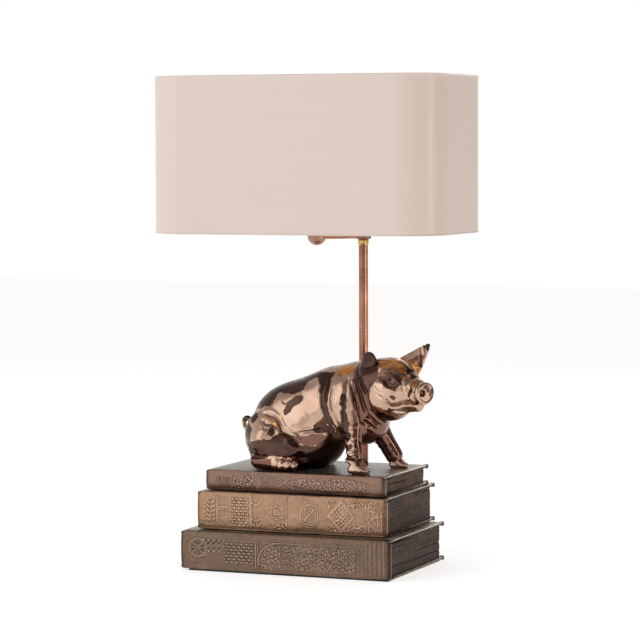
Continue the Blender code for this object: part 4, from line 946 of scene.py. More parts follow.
def scrolls(u, v, pitch, cell):
    """Rows of spiral scrolls, each turning the other way from its neighbours."""
    row = np.floor(v / cell)
    shifted = u + 0.5 * cell * (row % 2)
    column = np.floor(shifted / cell)
    x, y = shifted - (column + 0.5) * cell, v - (row + 0.5) * cell
    way = np.where((row + column) % 2 > 0, 1.0, -1.0)
    turn = np.arctan2(y, x) / (2 * math.pi) * way
    radius = np.hypot(x, y)
    arm = (radius / pitch - turn) % 1 - 0.5
    return ridge(arm * pitch, 0.42) * smooth_step(-radius, -0.56 * cell, -0.44 * cell)


def rosette(u, v, centre, size, petals):
    x, y = u - centre[0], v - centre[1]
    radius, angle = np.hypot(x, y), np.arctan2(y, x)
    petal = size * (0.62 + 0.30 * np.abs(np.cos(angle * petals / 2)))
    outline = ridge(radius - petal, 0.55) + ridge(radius - 0.33 * size, 0.6)
    rays = ridge(np.sin(angle * petals / 2) * radius * 0.6, 0.5) * inside(radius, 0.36 * size, 0.8 * size, 0.4)
    dots = ridge(np.sin(angle * petals) * 1.6, 0.7) * ridge(radius - size * 1.04, 0.7)
    return np.clip(outline + 0.8 * rays + dots + ridge(radius, 0.9), 0, 1)


def lozenges(u, v, du, dv):
    """A field of small lozenges, du by dv apart."""
    row = np.floor(v / dv)
    x = (u + 0.5 * du * (row % 2)) % du - du / 2
    y = v % dv - dv / 2
    return smooth_step(-(np.abs(x) / du + np.abs(y) / dv), -0.42, -0.24)


def bead_line(u, v, height, pitch, size):
    return ridge(np.hypot((u % pitch) - pitch / 2, v - height), size)


def stems(u, v, centre, height, lean, leaves):
    """An upright sprig with pairs of leaves, about centre."""
    x, y = u - centre[0], v - centre[1]
    total = ridge(x - lean * y * 0.12, 0.5) * inside(y, -height / 2, height / 2)
    for leaf in range(leaves):
        rise = (leaf + 0.4) / leaves * height - height / 2
        for side in (-1, 1):
            a = (x - side * 2.9) * 0.74 * side + (y - rise) * 0.67
            b = (y - rise) * 0.74 - (x - side * 2.9) * 0.67 * side
            total += smooth_step(-np.hypot(a / 3.1, b / 1.05), -1.0, -0.55)
    return np.clip(total, 0, 1)


def top_ornament(u, v):
    mid = 11.2
    band = inside(v, 3.2, 18.6, 1.2)
    left = inside(u, 30, 62, 2) * filigree(u, v, 201, 3.0)
    cross = ridge(np.abs(u - 56) - np.abs(v - mid) * 0.9, 0.7) * inside(u, 45, 67)
    fine = inside(u, 15, 29) * ridge(np.sin(u * math.pi / 2.6), 0.42) * inside(v, 6, 16)
    lines = inside(u, 66, 86) * ridge(np.sin(u * math.pi / 2.4), 0.35) * 0.6
    marks = ridge(np.abs(u - 94) * 0.75 - np.abs(v - mid), 0.7) + bead_line(u, v, mid, 3.4, 0.9)
    marks = inside(u, 87, 101) * marks
    thick = 7.6 * np.sin(np.clip((u - 101) / 96, 0, 1) * math.pi) ** 0.35
    long_band = smooth_step(thick - np.abs(v - mid), 0, 1.2) * inside(u, 103, 195, 2)
    long_fill = np.maximum(filigree(u, v, 211, 3.1), 0.8 * scrolls(u - 104, v - 0.4, 2.0, 7.3))
    return np.clip(band * (left + cross + fine + lines + marks) + long_band * long_fill, 0, 1)


def middle_ornament(u, v):
    mid = 21.3
    total = stems(u, v, (17, 22), 26, 1, 5)
    total += 0.8 * inside(u, 8, 12) * ridge(np.sin(v * math.pi / 5), 0.3) * inside(v, 10, 33)
    for at, width in ((24.2, 0.7), (25.9, 0.4), (63.6, 0.9), (65.3, 0.4), (105.6, 0.5), (200.5, 0.5), (203.0, 0.7)):
        total += ridge(u - at + 0.35 * np.sin(v * 0.7), width) * inside(v, 3, 40)
    total += inside(u, 28, 37) * inside(v, 4, 38) * (0.55 * ridge(np.sin(u * math.pi / 2.3), 0.4))
    total += inside(u, 27, 38) * (ridge(v - 26, 0.6) + ridge(v - 23.2, 0.5))
    rows = inside(u, 40, 61) * inside(v, 4.5, 38.5)
    total += rows * (lozenges(u - 40, v, 5.2, 3.4) + 0.7 * ridge(np.sin((u - 40) * math.pi / 5.2), 0.16))
    total += stems(u, v, (70.5, 10), 13, -1, 2) + stems(u, v, (70, 32), 9, 1, 1) * 0.8
    total += rosette(u, v, (94.5, mid + 1), 8.3, 8)
    total += inside(u, 84, 106) * inside(v, 3, 11.5) * filigree(u, v, 231, 2.8)
    total += inside(u, 88, 101) * inside(v, 34, 40) * filigree(u, v, 233, 2.4) * 0.7
    x, y = (u - 133) / 10.6, (v - mid) / 11.6
    ring = np.hypot(x, y)
    total += ridge((ring - 1) * 10.6, 0.75) + ridge((ring - 0.78) * 10.6, 0.4) * 0.7
    total += bead_line(np.arctan2(y, x) * 10.6, ring * 10.6, 13.1, 2.2, 0.65)
    swirl = ridge(x * 10.6 - 4.6 * np.sin(y * 3.0), 0.95) + ridge(x * 10.6 + 4.6 * np.sin(y * 3.0), 0.8)
    total += swirl * (ring < 0.76)
    diamond = np.abs(u - 171) / 15.5 + np.abs(v - mid) / 18.5
    total += ridge((diamond - 1) * 12, 0.7) + ridge((diamond - 0.86) * 12, 0.45)
    weave = ridge(np.sin(((u - 171) + (v - mid)) * math.pi / 5.0), 0.24)
    weave = weave + ridge(np.sin(((u - 171) - (v - mid)) * math.pi / 5.0), 0.24)
    total += (diamond < 0.84) * np.clip(0.8 * weave + 0.7 * filigree(u, v, 241, 2.7), 0, 1)
    corner = inside(u, 155, 200) * (diamond > 1.12) * inside(v, 3.5, 39)
    total += corner * filigree(u, v, 247, 3.2) * smooth_step(np.abs(v - mid), 7, 11)
    total += inside(u, 204.5, 219) * inside(v, 3.5, 39) * (0.8 * filigree(u, v, 251, 2.7))
    total += inside(u, 204, 220) * ridge(np.sin((u - 204) * math.pi / 4.9), 0.2) * inside(v, 4, 39) * 0.8
    return np.clip(total, 0, 1)


def bottom_ornament(u, v):
    mid = 21.6
    x, y = u - 21, v - 25
    circle = np.hypot(x, y)
    total = ridge(circle - 10.2, 0.7) + ridge(circle - 8.4, 0.4) * 0.7
    spoke = ridge(np.sin(np.arctan2(y, x) * 4) * circle * 0.24, 0.5)
    total += spoke * (circle < 8.4) * (circle > 1.8) + ridge(circle, 1.2)
    trellis = ridge(np.sin((u + v) * math.pi / 6.2), 0.22) + ridge(np.sin((u - v) * math.pi / 6.2), 0.22)
    bar = inside(u, 24, 52) * inside(v, 15, 36) * (circle > 10.5) * (np.abs(u - 40) < 14)
    trellis = np.clip(trellis + lozenges(u - 3.1, v, 6.2, 6.2) * 0.6, 0, 1)
    total += bar * trellis * smooth_step(v - 0.35 * (u - 24), 10, 16)
    total += inside(u, 47, 203, 1) * (bead_line(u, v, 34.3, 2.35, 0.72) + 0.45 * ridge(v - 36.4, 0.35))
    block = inside(u, 52, 87) * inside(v, 8.5, 32)
    total += block * (lozenges(u - 52, v - 8.5, 5.9, 3.5) + 0.55 * ridge(np.sin((u - 52) * math.pi / 5.9), 0.14))
    for at, width in ((89.0, 0.7), (91.2, 0.4), (210.0, 0.5)):
        total += ridge(u - at, width) * inside(v, 5, 34)
    arch = np.hypot((u - 118) / 1.25, (v - 14) * 1.0)
    body = np.maximum(smooth_step(-arch, -19.5, -18.5), inside(u, 118, 207, 1.5)) * inside(v, 4.5, 32.3, 0.8)
    fill = np.maximum(filigree(u, v, 271, 3.3), scrolls(u - 97, v - 3.8, 1.9, 7.0))
    total += body * fill + ridge(arch - 20.5, 0.6) * (u < 118) * (v > 9) * (v < 35)
    total += inside(u, 92, 118) * inside(v, 4, 13) * filigree(u, v, 281, 3.0) * 0.7
    ribs = inside(u, 219, 241) * (0.5 + 0.5 * np.cos((u - 219) * 2 * math.pi / 5.4)) * inside(v, 2.5, 41, 1.5)
    return np.clip(np.maximum(total, ribs * 0.6), 0, 1)


ORNAMENTS = {"book_bottom": bottom_ornament, "book_middle": middle_ornament, "book_top": top_ornament}


def arc_points(centre, radius, start, end, steps):
    angles = np.radians(np.linspace(start, end, steps + 1))
    return [(centre[0] + radius * math.cos(a), centre[1] + radius * math.sin(a)) for a in angles]


def run_between(start, end, step):
    count = max(1, int(math.ceil(math.dist(start, end) / step)))
    return [tuple(np.array(start) + (np.array(end) - start) * k / count) for k in range(1, count)]


def cover_section(depth, height):
    """The cover's section as (d, z) points, from the top board's fore edge over the spine to the bottom board's."""
    back, front = depth / 2, -depth / 2
    upper = arc_points((back - BEAD, height - BEAD), BEAD, -150, 90, 10)
    upper += run_between(upper[-1], (front + SPINE_BULGE + 3.0, height), 9)
    steps = int(height * 1.25 / CELL)
    spine = []
    for step in range(steps + 1):
        angle = math.pi * step / steps
        rise = height / 2 * math.cos(angle)
        bulge = SPINE_BULGE * math.sin(angle) ** 0.8
        spine.append((front + SPINE_BULGE - bulge, height / 2 + rise))
    lower = run_between((front + SPINE_BULGE + 3.0, 0), (back - BEAD, 0), 9)
    lower += arc_points((back - BEAD, BEAD), BEAD, -90, 150, 10)
    hollow = front + SPINE_DEPTH
    inner = run_between(lower[-1], (hollow, BOARD), 9) + [(hollow, BOARD)]
    inner += run_between((hollow, BOARD), (hollow, height - BOARD), 6) + [(hollow, height - BOARD)]
    inner += run_between((hollow, height - BOARD), upper[0], 9)
    points = np.array(upper + spine + lower + inner)
    on_spine = np.zeros(len(points))
    on_spine[len(upper): len(upper) + len(spine)] = 1
    # The end's outline in three plain pieces: top board, spine and bottom board.
    first, last = len(upper), len(upper) + len(spine) - 1
    low_hollow = int(np.argmin(np.hypot(points[:, 0] - hollow, points[:, 1] - BOARD)))
    high_hollow = int(np.argmin(np.hypot(points[:, 0] - hollow, points[:, 1] - height + BOARD)))
    ends = (
        list(range(0, first + 1)) + list(range(high_hollow, len(points))),
        list(range(first, last + 1)) + list(range(low_hollow, high_hollow + 1)),
        list(range(last, low_hollow + 1)),
    )
    return points, on_spine, ends


def outward(section):
    """Unit normals of a closed section that runs anticlockwise or clockwise, pointing out of it."""
    ahead, behind = np.roll(section, -1, axis=0), np.roll(section, 1, axis=0)
    run = ahead - behind
    run /= np.maximum(np.linalg.norm(run, axis=1), 1e-9)[:, None]
    area = (section[:, 0] * ahead[:, 1] - section[:, 1] * ahead[:, 0]).sum()
    return np.stack([run[:, 1], -run[:, 0]], axis=1) * (1 if area > 0 else -1)


def grid_quads(rows, columns, closed):
    """Quads of a grid of rows by columns, whose columns may close into a ring."""
    number = np.arange(rows * columns).reshape(rows, columns)
    here = number if closed else number[:, :-1]
    there = np.roll(number, -1, axis=1) if closed else number[:, 1:]
    return np.stack([here[:-1], there[:-1], there[1:], here[1:]], axis=-1).reshape(-1, 4)


def swept(path, ways, inset, heights):
    """Points set in from a path by an amount each, against its outward directions, at the heights given."""
    x = path[:, None, 0] - ways[:, None, 0] * inset
    y = path[:, None, 1] - ways[:, None, 1] * inset
    return np.stack([x, y, np.broadcast_to(heights, x.shape)], axis=-1)


def book_place(name, points):
    """Moves points from a book's own frame to the lamp's."""
    spec = BOOKS[name]
    middle = centre_of(name)
    base = low_of(name)[2]
    turn = math.radians(spec["yaw"])
    c, s = math.cos(turn), math.sin(turn)
    x, y, z = np.moveaxis(np.asarray(points, float), -1, 0)
    x = x - spec["reach"] * np.clip(-x / (spec["size"][0] / 2), 0, 1)
    return np.stack([middle[0] + x * c - y * s, middle[1] + x * s + y * c, base + z], axis=-1)


def make_cover(name):
    width, depth, height = BOOKS[name]["size"]
    section, on_spine, ends = cover_section(depth, height)
    normals = outward(section)
    # The ends are rounded over by pulling the last columns in along the section's normals: the spine's most.
    turns = [math.radians(a) for a in (0, 15, 30, 45, 60, 75, 90)]
    turnover = [END_ROUND * (1 - math.cos(a)) for a in turns]
    flat_width = width - 2 * END_ROUND
    count = int(flat_width / CELL)
    inner = [END_ROUND + flat_width * k / count for k in range(1, count)]
    along = np.array(turnover + inner + [width - t for t in reversed(turnover)])
    pull = [1 - math.sin(a) for a in turns]
    pulled = np.array(pull + [0.0] * len(inner) + pull[::-1])
    outer = (section[:, 1] > height - 0.01) | (section[:, 1] < 0.01) | (on_spine > 0)
    near_spine = smooth_step(-section[:, 0], depth / 2 - 7.0, depth / 2 - 3.5)
    give = np.where(outer, BOARD_ROUND + (END_ROUND - BOARD_ROUND) * near_spine, INNER_ROUND)
    u = np.repeat(along[:, None], len(section), axis=1)
    v = np.repeat(section[None, :, 1], len(along), axis=0)
    d = np.repeat(section[None, :, 0], len(along), axis=0)
    fade = on_spine[None, :] * inside(u, 3.0, width - 3.0, 1.5) * inside(v, 1.6, height - 1.6, 1.2)
    relief = ORNAMENTS[name](u, v) * fade
    plane = np.stack([u, v, d], axis=-1)
    dents = 0.22 * ripple(plane, 16, 301) + 0.10 * ripple(plane, 5, 302) + 0.05 * ripple(plane, 1.9, 303)
    sink = on_spine[None, :] * RELIEF * (1 - relief) * 0.9 * inside(v, 0.8, height - 0.8, 0.8)
    sink = sink + np.clip(0.18 - dents, 0, 1) * (0.35 + 0.65 * on_spine[None, :]) + pulled[:, None] * give[None, :]
    # A groove beside the spine on each board, where the real cover would hinge.
    level = (np.abs(normals[None, :, 1]) > 0.9) * (on_spine[None, :] < 1)
    hinge = ridge(d - (-depth / 2 + HINGE), HINGE_WIDTH) * level
    outer_board = (v > height - 0.01) | (v < 0.01)
    sink = sink + hinge * outer_board * HINGE_DEPTH
    # The bead along each board's fore edge swells into a knob at its two ends.
    from_face = np.minimum(section[:, 1], height - section[:, 1])
    knob = np.hypot(section[:, 0] - depth / 2 + BEAD, from_face - BEAD) < BEAD + 0.1
    near_end = smooth_step(-np.minimum(u, width - u), -KNOB_FADE, -KNOB_LENGTH)
    sink = sink - KNOB_SWELL * near_end * knob[None, :]
    points = np.stack(
        [u - width / 2, d - normals[None, :, 0] * sink, v - normals[None, :, 1] * sink], axis=-1
    )
    # A painted highlight along the boards' rounded ends, fading out before the fore edge.
    board_end_highlight = np.clip(ridge(u - width, 2.4) + ridge(u, 2.4), 0, 1) * (on_spine[None, :] < 1)
    board_end_highlight = 0.8 * board_end_highlight * smooth_step(-d, -(depth / 2 - 4), -(depth / 2 - 8))
    # The spine's tone: a painted highlight on crests above their neighbours, and painted shade in recesses, towards
    # the rounded ends and along the top and bottom edges.
    mean = relief
    for axis in (0, 1):
        mean = sum(np.roll(mean, shift, axis=axis) for shift in range(-3, 4)) / 7
    from_end = np.minimum(u, width - u)
    shown = 0.42 + 1.15 * (relief - mean) + 0.30 * mean - 0.10 * (1 - fade) - 0.28 * ridge(from_end, 4.0)
    shown = np.where(on_spine[None, :] > 0, shown, board_end_highlight)
    border = np.minimum(from_end, depth / 2 - d)
    faces = grid_quads(len(along), len(section), True).tolist()
    total = len(along) * len(section)
    for outline in ends:
        faces.append(outline[::-1])
        faces.append([total - len(section) + k for k in outline])
    flat = book_place(name, points).reshape(-1, 3)
    cover = make_piece(
        name + "_cover", flat, faces, BOOKS[name]["surface"], 50,
        relief=shown.ravel(), border=border.ravel(), depthwise=d.ravel(), lengthwise=u.ravel(),
    )
    cover.data.materials.append(COVER)
    cover.data.materials.append(BEADS)
    spine_face = on_spine > 0
    columns = np.tile(np.arange(len(section)), len(along) - 1)
    both = spine_face[columns] | spine_face[(columns + 1) % len(section)]
    columns_kind = np.where(both, 0, np.where(knob[columns] & knob[(columns + 1) % len(section)], 2, 1))
    slots = np.concatenate([columns_kind, [2, 2, 0, 0, 2, 2]]).astype(np.int32)
    cover.data.polygons.foreach_set("material_index", slots)
    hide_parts(name)
    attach(cover, "base")


def make_pages(name, seed):
    """The page block's three open sides: uneven sheets, a few gaps, and a hollowed fore edge."""
    width, depth, height = BOOKS[name]["size"]
    low, high = BOARD - 0.3, height - BOARD + 0.3
    half, back, front = width / 2 - PAGE_END, depth / 2 - PAGE_BACK, -depth / 2 + SPINE_DEPTH - 0.5
    corners = ((half, front), (half, back), (-half, back), (-half, front))
    path = [corners[0]]
    for start, end in zip(corners, corners[1:]):
        path += run_between(start, end, PAGE_STEP) + [end]
    path = np.array(path)
    ways = np.zeros_like(path)
    ways[np.abs(path[:, 0] - half) < 1e-6] += (1, 0)
    ways[np.abs(path[:, 0] + half) < 1e-6] += (-1, 0)
    ways[np.abs(path[:, 1] - back) < 1e-6] += (0, 1)
    ways /= np.linalg.norm(ways, axis=1)[:, None]
    heights = np.linspace(low, high, int((high - low) / SHEET))
    run = np.concatenate(([0], np.cumsum(np.linalg.norm(np.diff(path, axis=0), axis=1))))
    s, z = np.meshgrid(run, heights, indexing="ij")
    drift = 0.5 * np.sin(s / 31 + seed) + 0.35 * np.sin(s / 13 + 2 * seed)
    sheets = ripple(np.stack([z + drift, 0 * z], axis=-1), 0.75, seed, 16)
    sheets = sheets + 0.7 * ripple(np.stack([(z + drift), s / 60], axis=-1), 1.7, seed + 1, 12)
    gaps = smooth_step(ripple(np.stack([(z + drift) * 0.9, s / 45], axis=-1), 2.6, seed + 2, 10), 0.62, 0.95)
    nicks = smooth_step(ripple(np.stack([z, s / 5], axis=-1), 1.2, seed + 3, 14), 0.75, 1.0)
    sink = 0.28 - 0.22 * np.clip(sheets, -1.2, 1.2) + 0.9 * gaps + 0.5 * nicks
    fore_edge = np.abs(ways[:, 1])[:, None] > 0.9
    hollow = 1.6 * np.clip(np.sin(math.pi * (z - low) / (high - low)), 0, 1) * fore_edge
    sink = sink + hollow
    points = swept(path, ways, sink, z)
    # Lower where the sheets sink into gaps and nicks, for painted shade there.
    relief = np.clip(0.55 - 0.6 * (sink - hollow) + 0.4, 0, 1)
    flat = book_place(name, points).reshape(-1, 3)
    quads = grid_quads(len(path), len(heights), False)[:, ::-1].tolist()
    rim = len(heights)
    quads.append([k * rim for k in range(len(path))][::-1])
    quads.append([k * rim + rim - 1 for k in range(len(path))])
    pages = make_piece(name + "_pages", flat, quads, PAGES, 40, relief=relief.ravel())
    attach(pages, "base")


for number, book in enumerate(BOOKS):
    make_cover(book)
    make_pages(book, 400 + 10 * number)


# ---- shade, in millimetres ----
SHADE_SIZE = (350.0, 187.0)
SHADE_CORNER = 48.0
SHADE_LOW, SHADE_HIGH = 378.0, 555.0
HEM, HEM_STEP = 9.0, 0.12
LAP_WIDTH, LAP_RISE = 12.0, 0.342
# The hem's turned-in edge and the face's rest place, as insets from the shade's outline.
TURNED_IN, FACE_INSET = 2.0, 0.42
LINING_OUTER, LINING_INNER = 1.15, 1.55


def loop_path(width, depth, corner, step):
    """Points and outward directions round a rectangle with round corners, from the middle of its back."""
    half_x, half_y = width / 2 - corner, depth / 2 - corner
    pieces = [((0, half_y), (-half_x, half_y), 90), ((-half_x, half_y), (-half_x, -half_y), 180)]
    pieces += [((-half_x, -half_y), (half_x, -half_y), 270), ((half_x, -half_y), (half_x, half_y), 360)]
    pieces += [((half_x, half_y), (0, half_y), 450)]
    points, ways = [], []
    for number, (start, end, heading) in enumerate(pieces):
        start, end = np.array(start, float), np.array(end, float)
        way = np.array((math.cos(math.radians(heading)), math.sin(math.radians(heading))))
        count = max(1, int(np.linalg.norm(end - start) / step))
        for k in range(count + 1):
            points.append(start + (end - start) * k / count + way * corner)
            ways.append(way)
        if number < 4:
            turns = int(math.radians(90) * corner / step)
            for k in range(1, turns):
                angle = math.radians(heading + 90 * k / turns)
                way = np.array((math.cos(angle), math.sin(angle)))
                points.append(end + way * corner)
                ways.append(way)
    return np.array(points), np.array(ways)


def make_shade():
    path, ways = loop_path(*SHADE_SIZE, SHADE_CORNER, 2.0)
    run = np.concatenate(([0], np.cumsum(np.linalg.norm(np.diff(path, axis=0), axis=1))))
    # From the inner end of the top hem, over the wire, down the face and round the bottom wire.
    top, low = SHADE_HIGH, SHADE_LOW
    section = [(TURNED_IN, top - HEM), (TURNED_IN, top - 2.4)]
    section += [(1.3 + 0.7 * math.cos(a), top - 1.3 + 1.3 * math.sin(a)) for a in np.radians(range(15, 90, 25))]
    section += [(1.0 - 1.0 * math.sin(a), top - 1.0 + 1.0 * math.cos(a)) for a in np.radians(range(5, 91, 17))]
    section += [(0.0, z) for z in np.linspace(top - 2.6, low + 2.6, 72)]
    section += [(1.0 - 1.0 * math.cos(a), low + 1.0 - 1.0 * math.sin(a)) for a in np.radians(range(0, 86, 17))]
    section += [(1.3 + 0.7 * math.sin(a), low + 1.3 - 1.3 * math.cos(a)) for a in np.radians(range(25, 90, 25))]
    section = np.array(section + [(TURNED_IN, low + 2.4), (TURNED_IN, low + HEM)])
    s, z = np.meshgrid(run, section[:, 1], indexing="ij")
    inset = np.repeat(section[None, :, 0], len(run), axis=0)
    face = inset < 0.02
    field = np.stack([s, z], axis=-1)
    ends = smooth_step(s, 4, 30) * smooth_step(-s, -run[-1] + 4, -run[-1] + 30)
    slack = 0.16 * ripple(field, 60, 501) + 0.07 * ripple(field, 17, 502)
    level = smooth_step(z, low + 3, low + 16) * smooth_step(-z, -top + 3, -top + 16)
    # The turned hem shows through the cloth as a faint step, and the glued lap stands out at the back.
    top_hem, low_hem = top - HEM, low + HEM
    step = smooth_step(z, top_hem - 0.6, top_hem + 0.6) + smooth_step(-z, -low_hem - 0.6, -low_hem + 0.6)
    lap = smooth_step(-s, -LAP_WIDTH - 0.6, -LAP_WIDTH) * face
    drape = np.clip(slack, -0.25, 0.25) * level * ends
    inset = inset + face * (FACE_INSET - drape - HEM_STEP * step) - LAP_RISE * lap
    points = swept(path, ways, inset, z)
    cloth = make_piece(
        "shade_fabric", points.reshape(-1, 3), grid_quads(len(path), len(section), False), SILK, 60
    )
    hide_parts("shade_cover")
    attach(cloth, "shade")

    # The stiff lining inside, cut to fit between the wires.
    heights = np.linspace(low + 2.9, top - 2.9, 36)
    ring = np.array([(LINING_OUTER, h) for h in heights] + [(LINING_INNER, h) for h in heights[::-1]])
    points = swept(path[:-1], ways[:-1], ring[None, :, 0], ring[None, :, 1])
    number = np.arange(points.shape[0] * points.shape[1]).reshape(points.shape[:2])
    after = np.roll(number, -1, axis=0)
    quads = np.stack([number, np.roll(number, -1, axis=1), np.roll(after, -1, axis=1), after], axis=-1)
    inner_skin = make_piece("shade_inner", points.reshape(-1, 3), quads.reshape(-1, 4), LINING, 60)
    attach(inner_skin, "shade")


make_shade()


# ---- stem, arm and the turned pieces, in millimetres ----
def turned_piece(name, node, body, profile, surface, sides=72):
    """A turned shape from (radius, height) points, on the vertical line through a CAD node's middle."""
    x, y, _ = centre_of(node)
    profile = np.array(profile, float)
    angles = np.arange(sides) * 2 * math.pi / sides
    points = np.stack(
        [
            x + profile[:, 0][None, :] * np.cos(angles)[:, None],
            y + profile[:, 0][None, :] * np.sin(angles)[:, None],
            np.repeat(profile[None, :, 1], sides, axis=0),
        ],
        axis=-1,
    )
    rows, columns = points.shape[:2]
    number = np.arange(rows * columns).reshape(rows, columns)
    after = np.roll(number, -1, axis=0)
    quads = np.stack([number[:, :-1], after[:, :-1], after[:, 1:], number[:, 1:]], axis=-1).reshape(-1, 4).tolist()
    quads.append(number[:, 0].tolist()[::-1])
    quads.append(number[:, -1].tolist())
    piece = make_piece(name, points.reshape(-1, 3), quads, surface, 40)
    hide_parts(node)
    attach(piece, body)


def make_stem():
    low, high = low_of("stem_collar"), high_of("stem_collar")
    radius = (high[0] - low[0]) / 2
    base, top = low[2], high[2]
    waist = [(radius - 0.5, base + 0.35), (radius, base + 0.9), (radius, base + 1.6), (radius - 0.55, base + 2.0)]
    waist += [(radius - 0.55, top - 2.0), (radius, top - 1.6), (radius, top - 0.8), (radius - 0.4, top - 0.3)]
    turned_piece(
        "stem_collar_turned", "stem_collar", "base",
        [(radius - 0.9, base)] + waist + [(radius - 0.9, top)], GOLD,
    )
    low, high = low_of("arm_connector"), high_of("arm_connector")
    radius = (high[1] - low[1]) / 2
    base, top = low[2], high[2]
    profile = [(radius - 1.6, base), (radius - 0.7, base + 0.25), (radius - 0.15, base + 0.9), (radius, base + 1.7)]
    profile += [(radius, top - 3.4), (radius - 0.25, top - 2.9), (radius - 0.25, top - 2.6), (radius, top - 2.1)]
    profile += [(radius - 0.3, top - 1.0), (radius - 1.2, top - 0.25), (radius - 2.6, top)]
    turned_piece("arm_connector_turned", "arm_connector", "base", profile, COPPER_DARK)


def dress(node, surface):
    """Gives a CAD node that stays in the model its finish."""
    obj = NODES[node]
    obj.data.materials.clear()
    obj.data.materials.append(surface)


make_stem()
FINISHES = {
    COPPER: ("stem_tube", "arm_tube"),
    BALL_COPPER: ("ball_elbow",),
    BRASS: (
        "lampholder_cap", "lampholder_barrel", "shade_ring", "contact_plunger_1", "contact_plunger_2", "bulb_cap",
    ),
    NYLON: ("cable_gland", "push_bar"),
    PORCELAIN: ("switch_core", "contact_insulator"),
    WHITE_WIRE: ("shade_carrier", "shade_top_wire"),
    FELT: ("felt_pad",),
    OPAL: ("bulb_globe",),
}
for surface, names in FINISHES.items():
    for node in names:
        dress(node, surface)
STEEL = ("base_plate", "book_screw", "pig_screw", "stem_nut", "stem_washer", "nipple", "plunger_spring")
for node in NODES:
    if node.startswith(STEEL):
        dress(node, ZINC)


# Each contact's spring gets a mesh of its own.
for spring, slide in (("plunger_spring_1", "contact_left_slide"), ("plunger_spring_2", "contact_right_slide")):
    (x, y, _), foot, top = centre_of(spring), low_of(spring)[2], high_of(spring)[2]
    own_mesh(NODES[spring])


# ---- camera, stage and light ----
AIM_HEIGHT = 0.2791
AIM_ASIDE = 0.0033
AZIMUTH = math.radians(22.48)
LOOK_DOWN = math.radians(3.56)
ROLL = math.radians(0.19)
DISTANCE = 3.195
LENS = 158.4
FLOOR_HALF, FLOOR_GLOW = 6.0, 0.58
ROOM_LIGHT = 0.785
# The room's light towards +X, as a share of the rest, and its tint there.
ROOM_DIM, ROOM_WARM = 0.12, (1.0, 0.84, 0.73, 1)


def make_camera():
    back = Vector(
        (math.sin(AZIMUTH) * math.cos(LOOK_DOWN), -math.cos(AZIMUTH) * math.cos(LOOK_DOWN), math.sin(LOOK_DOWN))
    )
    aside = Vector((math.cos(AZIMUTH), math.sin(AZIMUTH), 0))
    camera = bpy.data.objects.new("camera", bpy.data.cameras.new("camera"))
    bpy.context.scene.collection.objects.link(camera)
    camera.data.lens = LENS
    camera.data.sensor_width = 36
    camera.data.clip_end = 30
    camera.location = Vector((0, 0, AIM_HEIGHT)) + aside * AIM_ASIDE + back * DISTANCE
    camera.rotation_euler = back.to_track_quat("Z", "Y").to_euler()
    camera.rotation_euler.rotate_axis("Z", -ROLL)
    bpy.context.scene.camera = camera


def make_floor():
    half = FLOOR_HALF
    mesh = bpy.data.meshes.new("floor")
    mesh.from_pydata([(-half, -half, 0), (half, -half, 0), (half, half, 0), (-half, half, 0)], [], [(0, 1, 2, 3)])
    floor = bpy.data.objects.new("floor", mesh)
    bpy.context.scene.collection.objects.link(floor)
    g = Graph("pale_floor", roughness=0.9, Specular_IOR_Level=0.0)
    g.set("Base Color", (0.93, 0.93, 0.93, 1))
    g.set("Emission Color", (1, 1, 1, 1))
    g.set("Emission Strength", FLOOR_GLOW)
    mesh.materials.append(g.material)


def area_light(name, place, aim, size, power, colour=(1, 1, 1)):
    light = bpy.data.lights.new(name, "AREA")
    light.shape = "RECTANGLE"
    light.size, light.size_y = size
    light.energy = power
    light.color = colour
    lamp = bpy.data.objects.new(name, light)
    lamp.location = place
    lamp.rotation_euler = (Vector(place) - Vector(aim)).to_track_quat("Z", "Y").to_euler()
    bpy.context.scene.collection.objects.link(lamp)


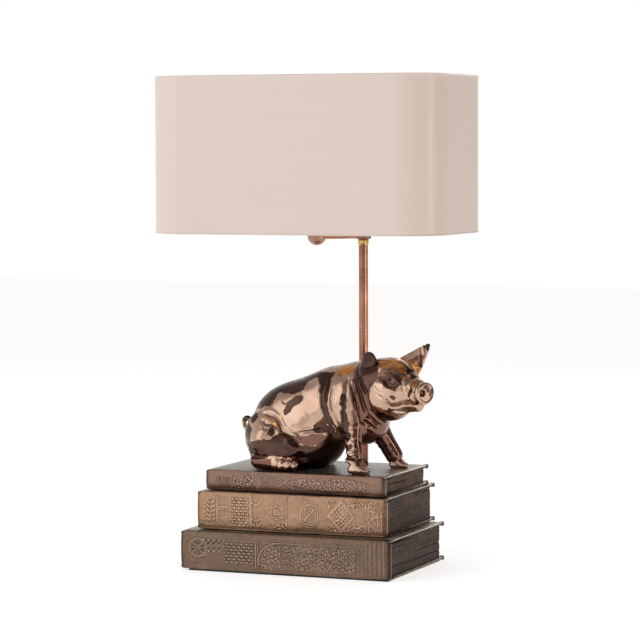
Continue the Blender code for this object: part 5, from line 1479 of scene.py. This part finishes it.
def make_world():
    """White for the camera; for light and reflections, a bright band at the horizon under a dim top."""
    world = bpy.data.worlds.new("studio")
    bpy.context.scene.world = world
    world.use_nodes = True
    tree = world.node_tree
    tree.nodes.clear()

    def add(kind, **settings):
        made = tree.nodes.new(kind)
        for key, value in settings.items():
            setattr(made, key, value)
        return made

    place = add("ShaderNodeTexCoord")
    split = add("ShaderNodeSeparateXYZ")
    ramp = add("ShaderNodeValToRGB")
    stops = ((0.0, 0.9), (0.46, 1.0), (0.60, 1.0), (0.74, 0.85), (0.84, 0.55), (1.0, 0.5))
    lift = add("ShaderNodeMath", operation="MULTIPLY_ADD")
    lift.inputs[1].default_value = 0.5
    lift.inputs[2].default_value = 0.5
    elements = ramp.color_ramp.elements
    while len(elements) < len(stops):
        elements.new(0.5)
    for element, (position, level) in zip(elements, stops):
        element.position = position
        element.color = (level, level, level * 0.99, 1)
    seen, lit, choose = add("ShaderNodeBackground"), add("ShaderNodeBackground"), add("ShaderNodeMixShader")
    seen.inputs["Color"].default_value = (1, 1, 1, 1)
    seen.inputs["Strength"].default_value = 1.0
    path, out = add("ShaderNodeLightPath"), add("ShaderNodeOutputWorld")
    # Towards +X the room is dimmer and warmer, so that the shade's end face falls off.
    dim = add("ShaderNodeMapRange")
    for socket, setting in ((1, 0.0), (2, 1.0), (3, 1.0), (4, ROOM_DIM)):
        dim.inputs[socket].default_value = setting
    strength = add("ShaderNodeMath", operation="MULTIPLY")
    strength.inputs[1].default_value = ROOM_LIGHT
    warm = add("ShaderNodeMix", data_type="RGBA", blend_type="MULTIPLY")
    warm.inputs[7].default_value = ROOM_WARM
    turn = add("ShaderNodeMapRange")
    for source, output, target, socket in (
        (place, "Generated", split, 0), (split, "Z", lift, 0), (lift, 0, ramp, 0), (split, "X", dim, 0),
        (dim, 0, strength, 0), (strength, 0, lit, "Strength"), (split, "X", turn, 0), (turn, 0, warm, 0),
        (ramp, 0, warm, 6), (warm, 2, lit, "Color"), (path, "Is Camera Ray", choose, 0), (lit, 0, choose, 1),
        (seen, 0, choose, 2), (choose, 0, out, "Surface"),
    ):
        tree.links.new(source.outputs[output], target.inputs[socket])


make_camera()
make_floor()
make_world()
area_light("key", (-1.5, -1.9, 1.35), (0, 0, 0.3), (2.2, 2.4), 12.5)
area_light("fill", (2.15, -0.25, 0.55), (0, 0, 0.35), (0.22, 1.3), 6.3, (1.0, 0.86, 0.78))
area_light("back", (0.3, 2.0, 1.5), (0, 0, 0.3), (1.6, 1.0), 6)
bpy.context.scene.view_settings.view_transform = "Standard"
bpy.context.scene.view_settings.look = "None"
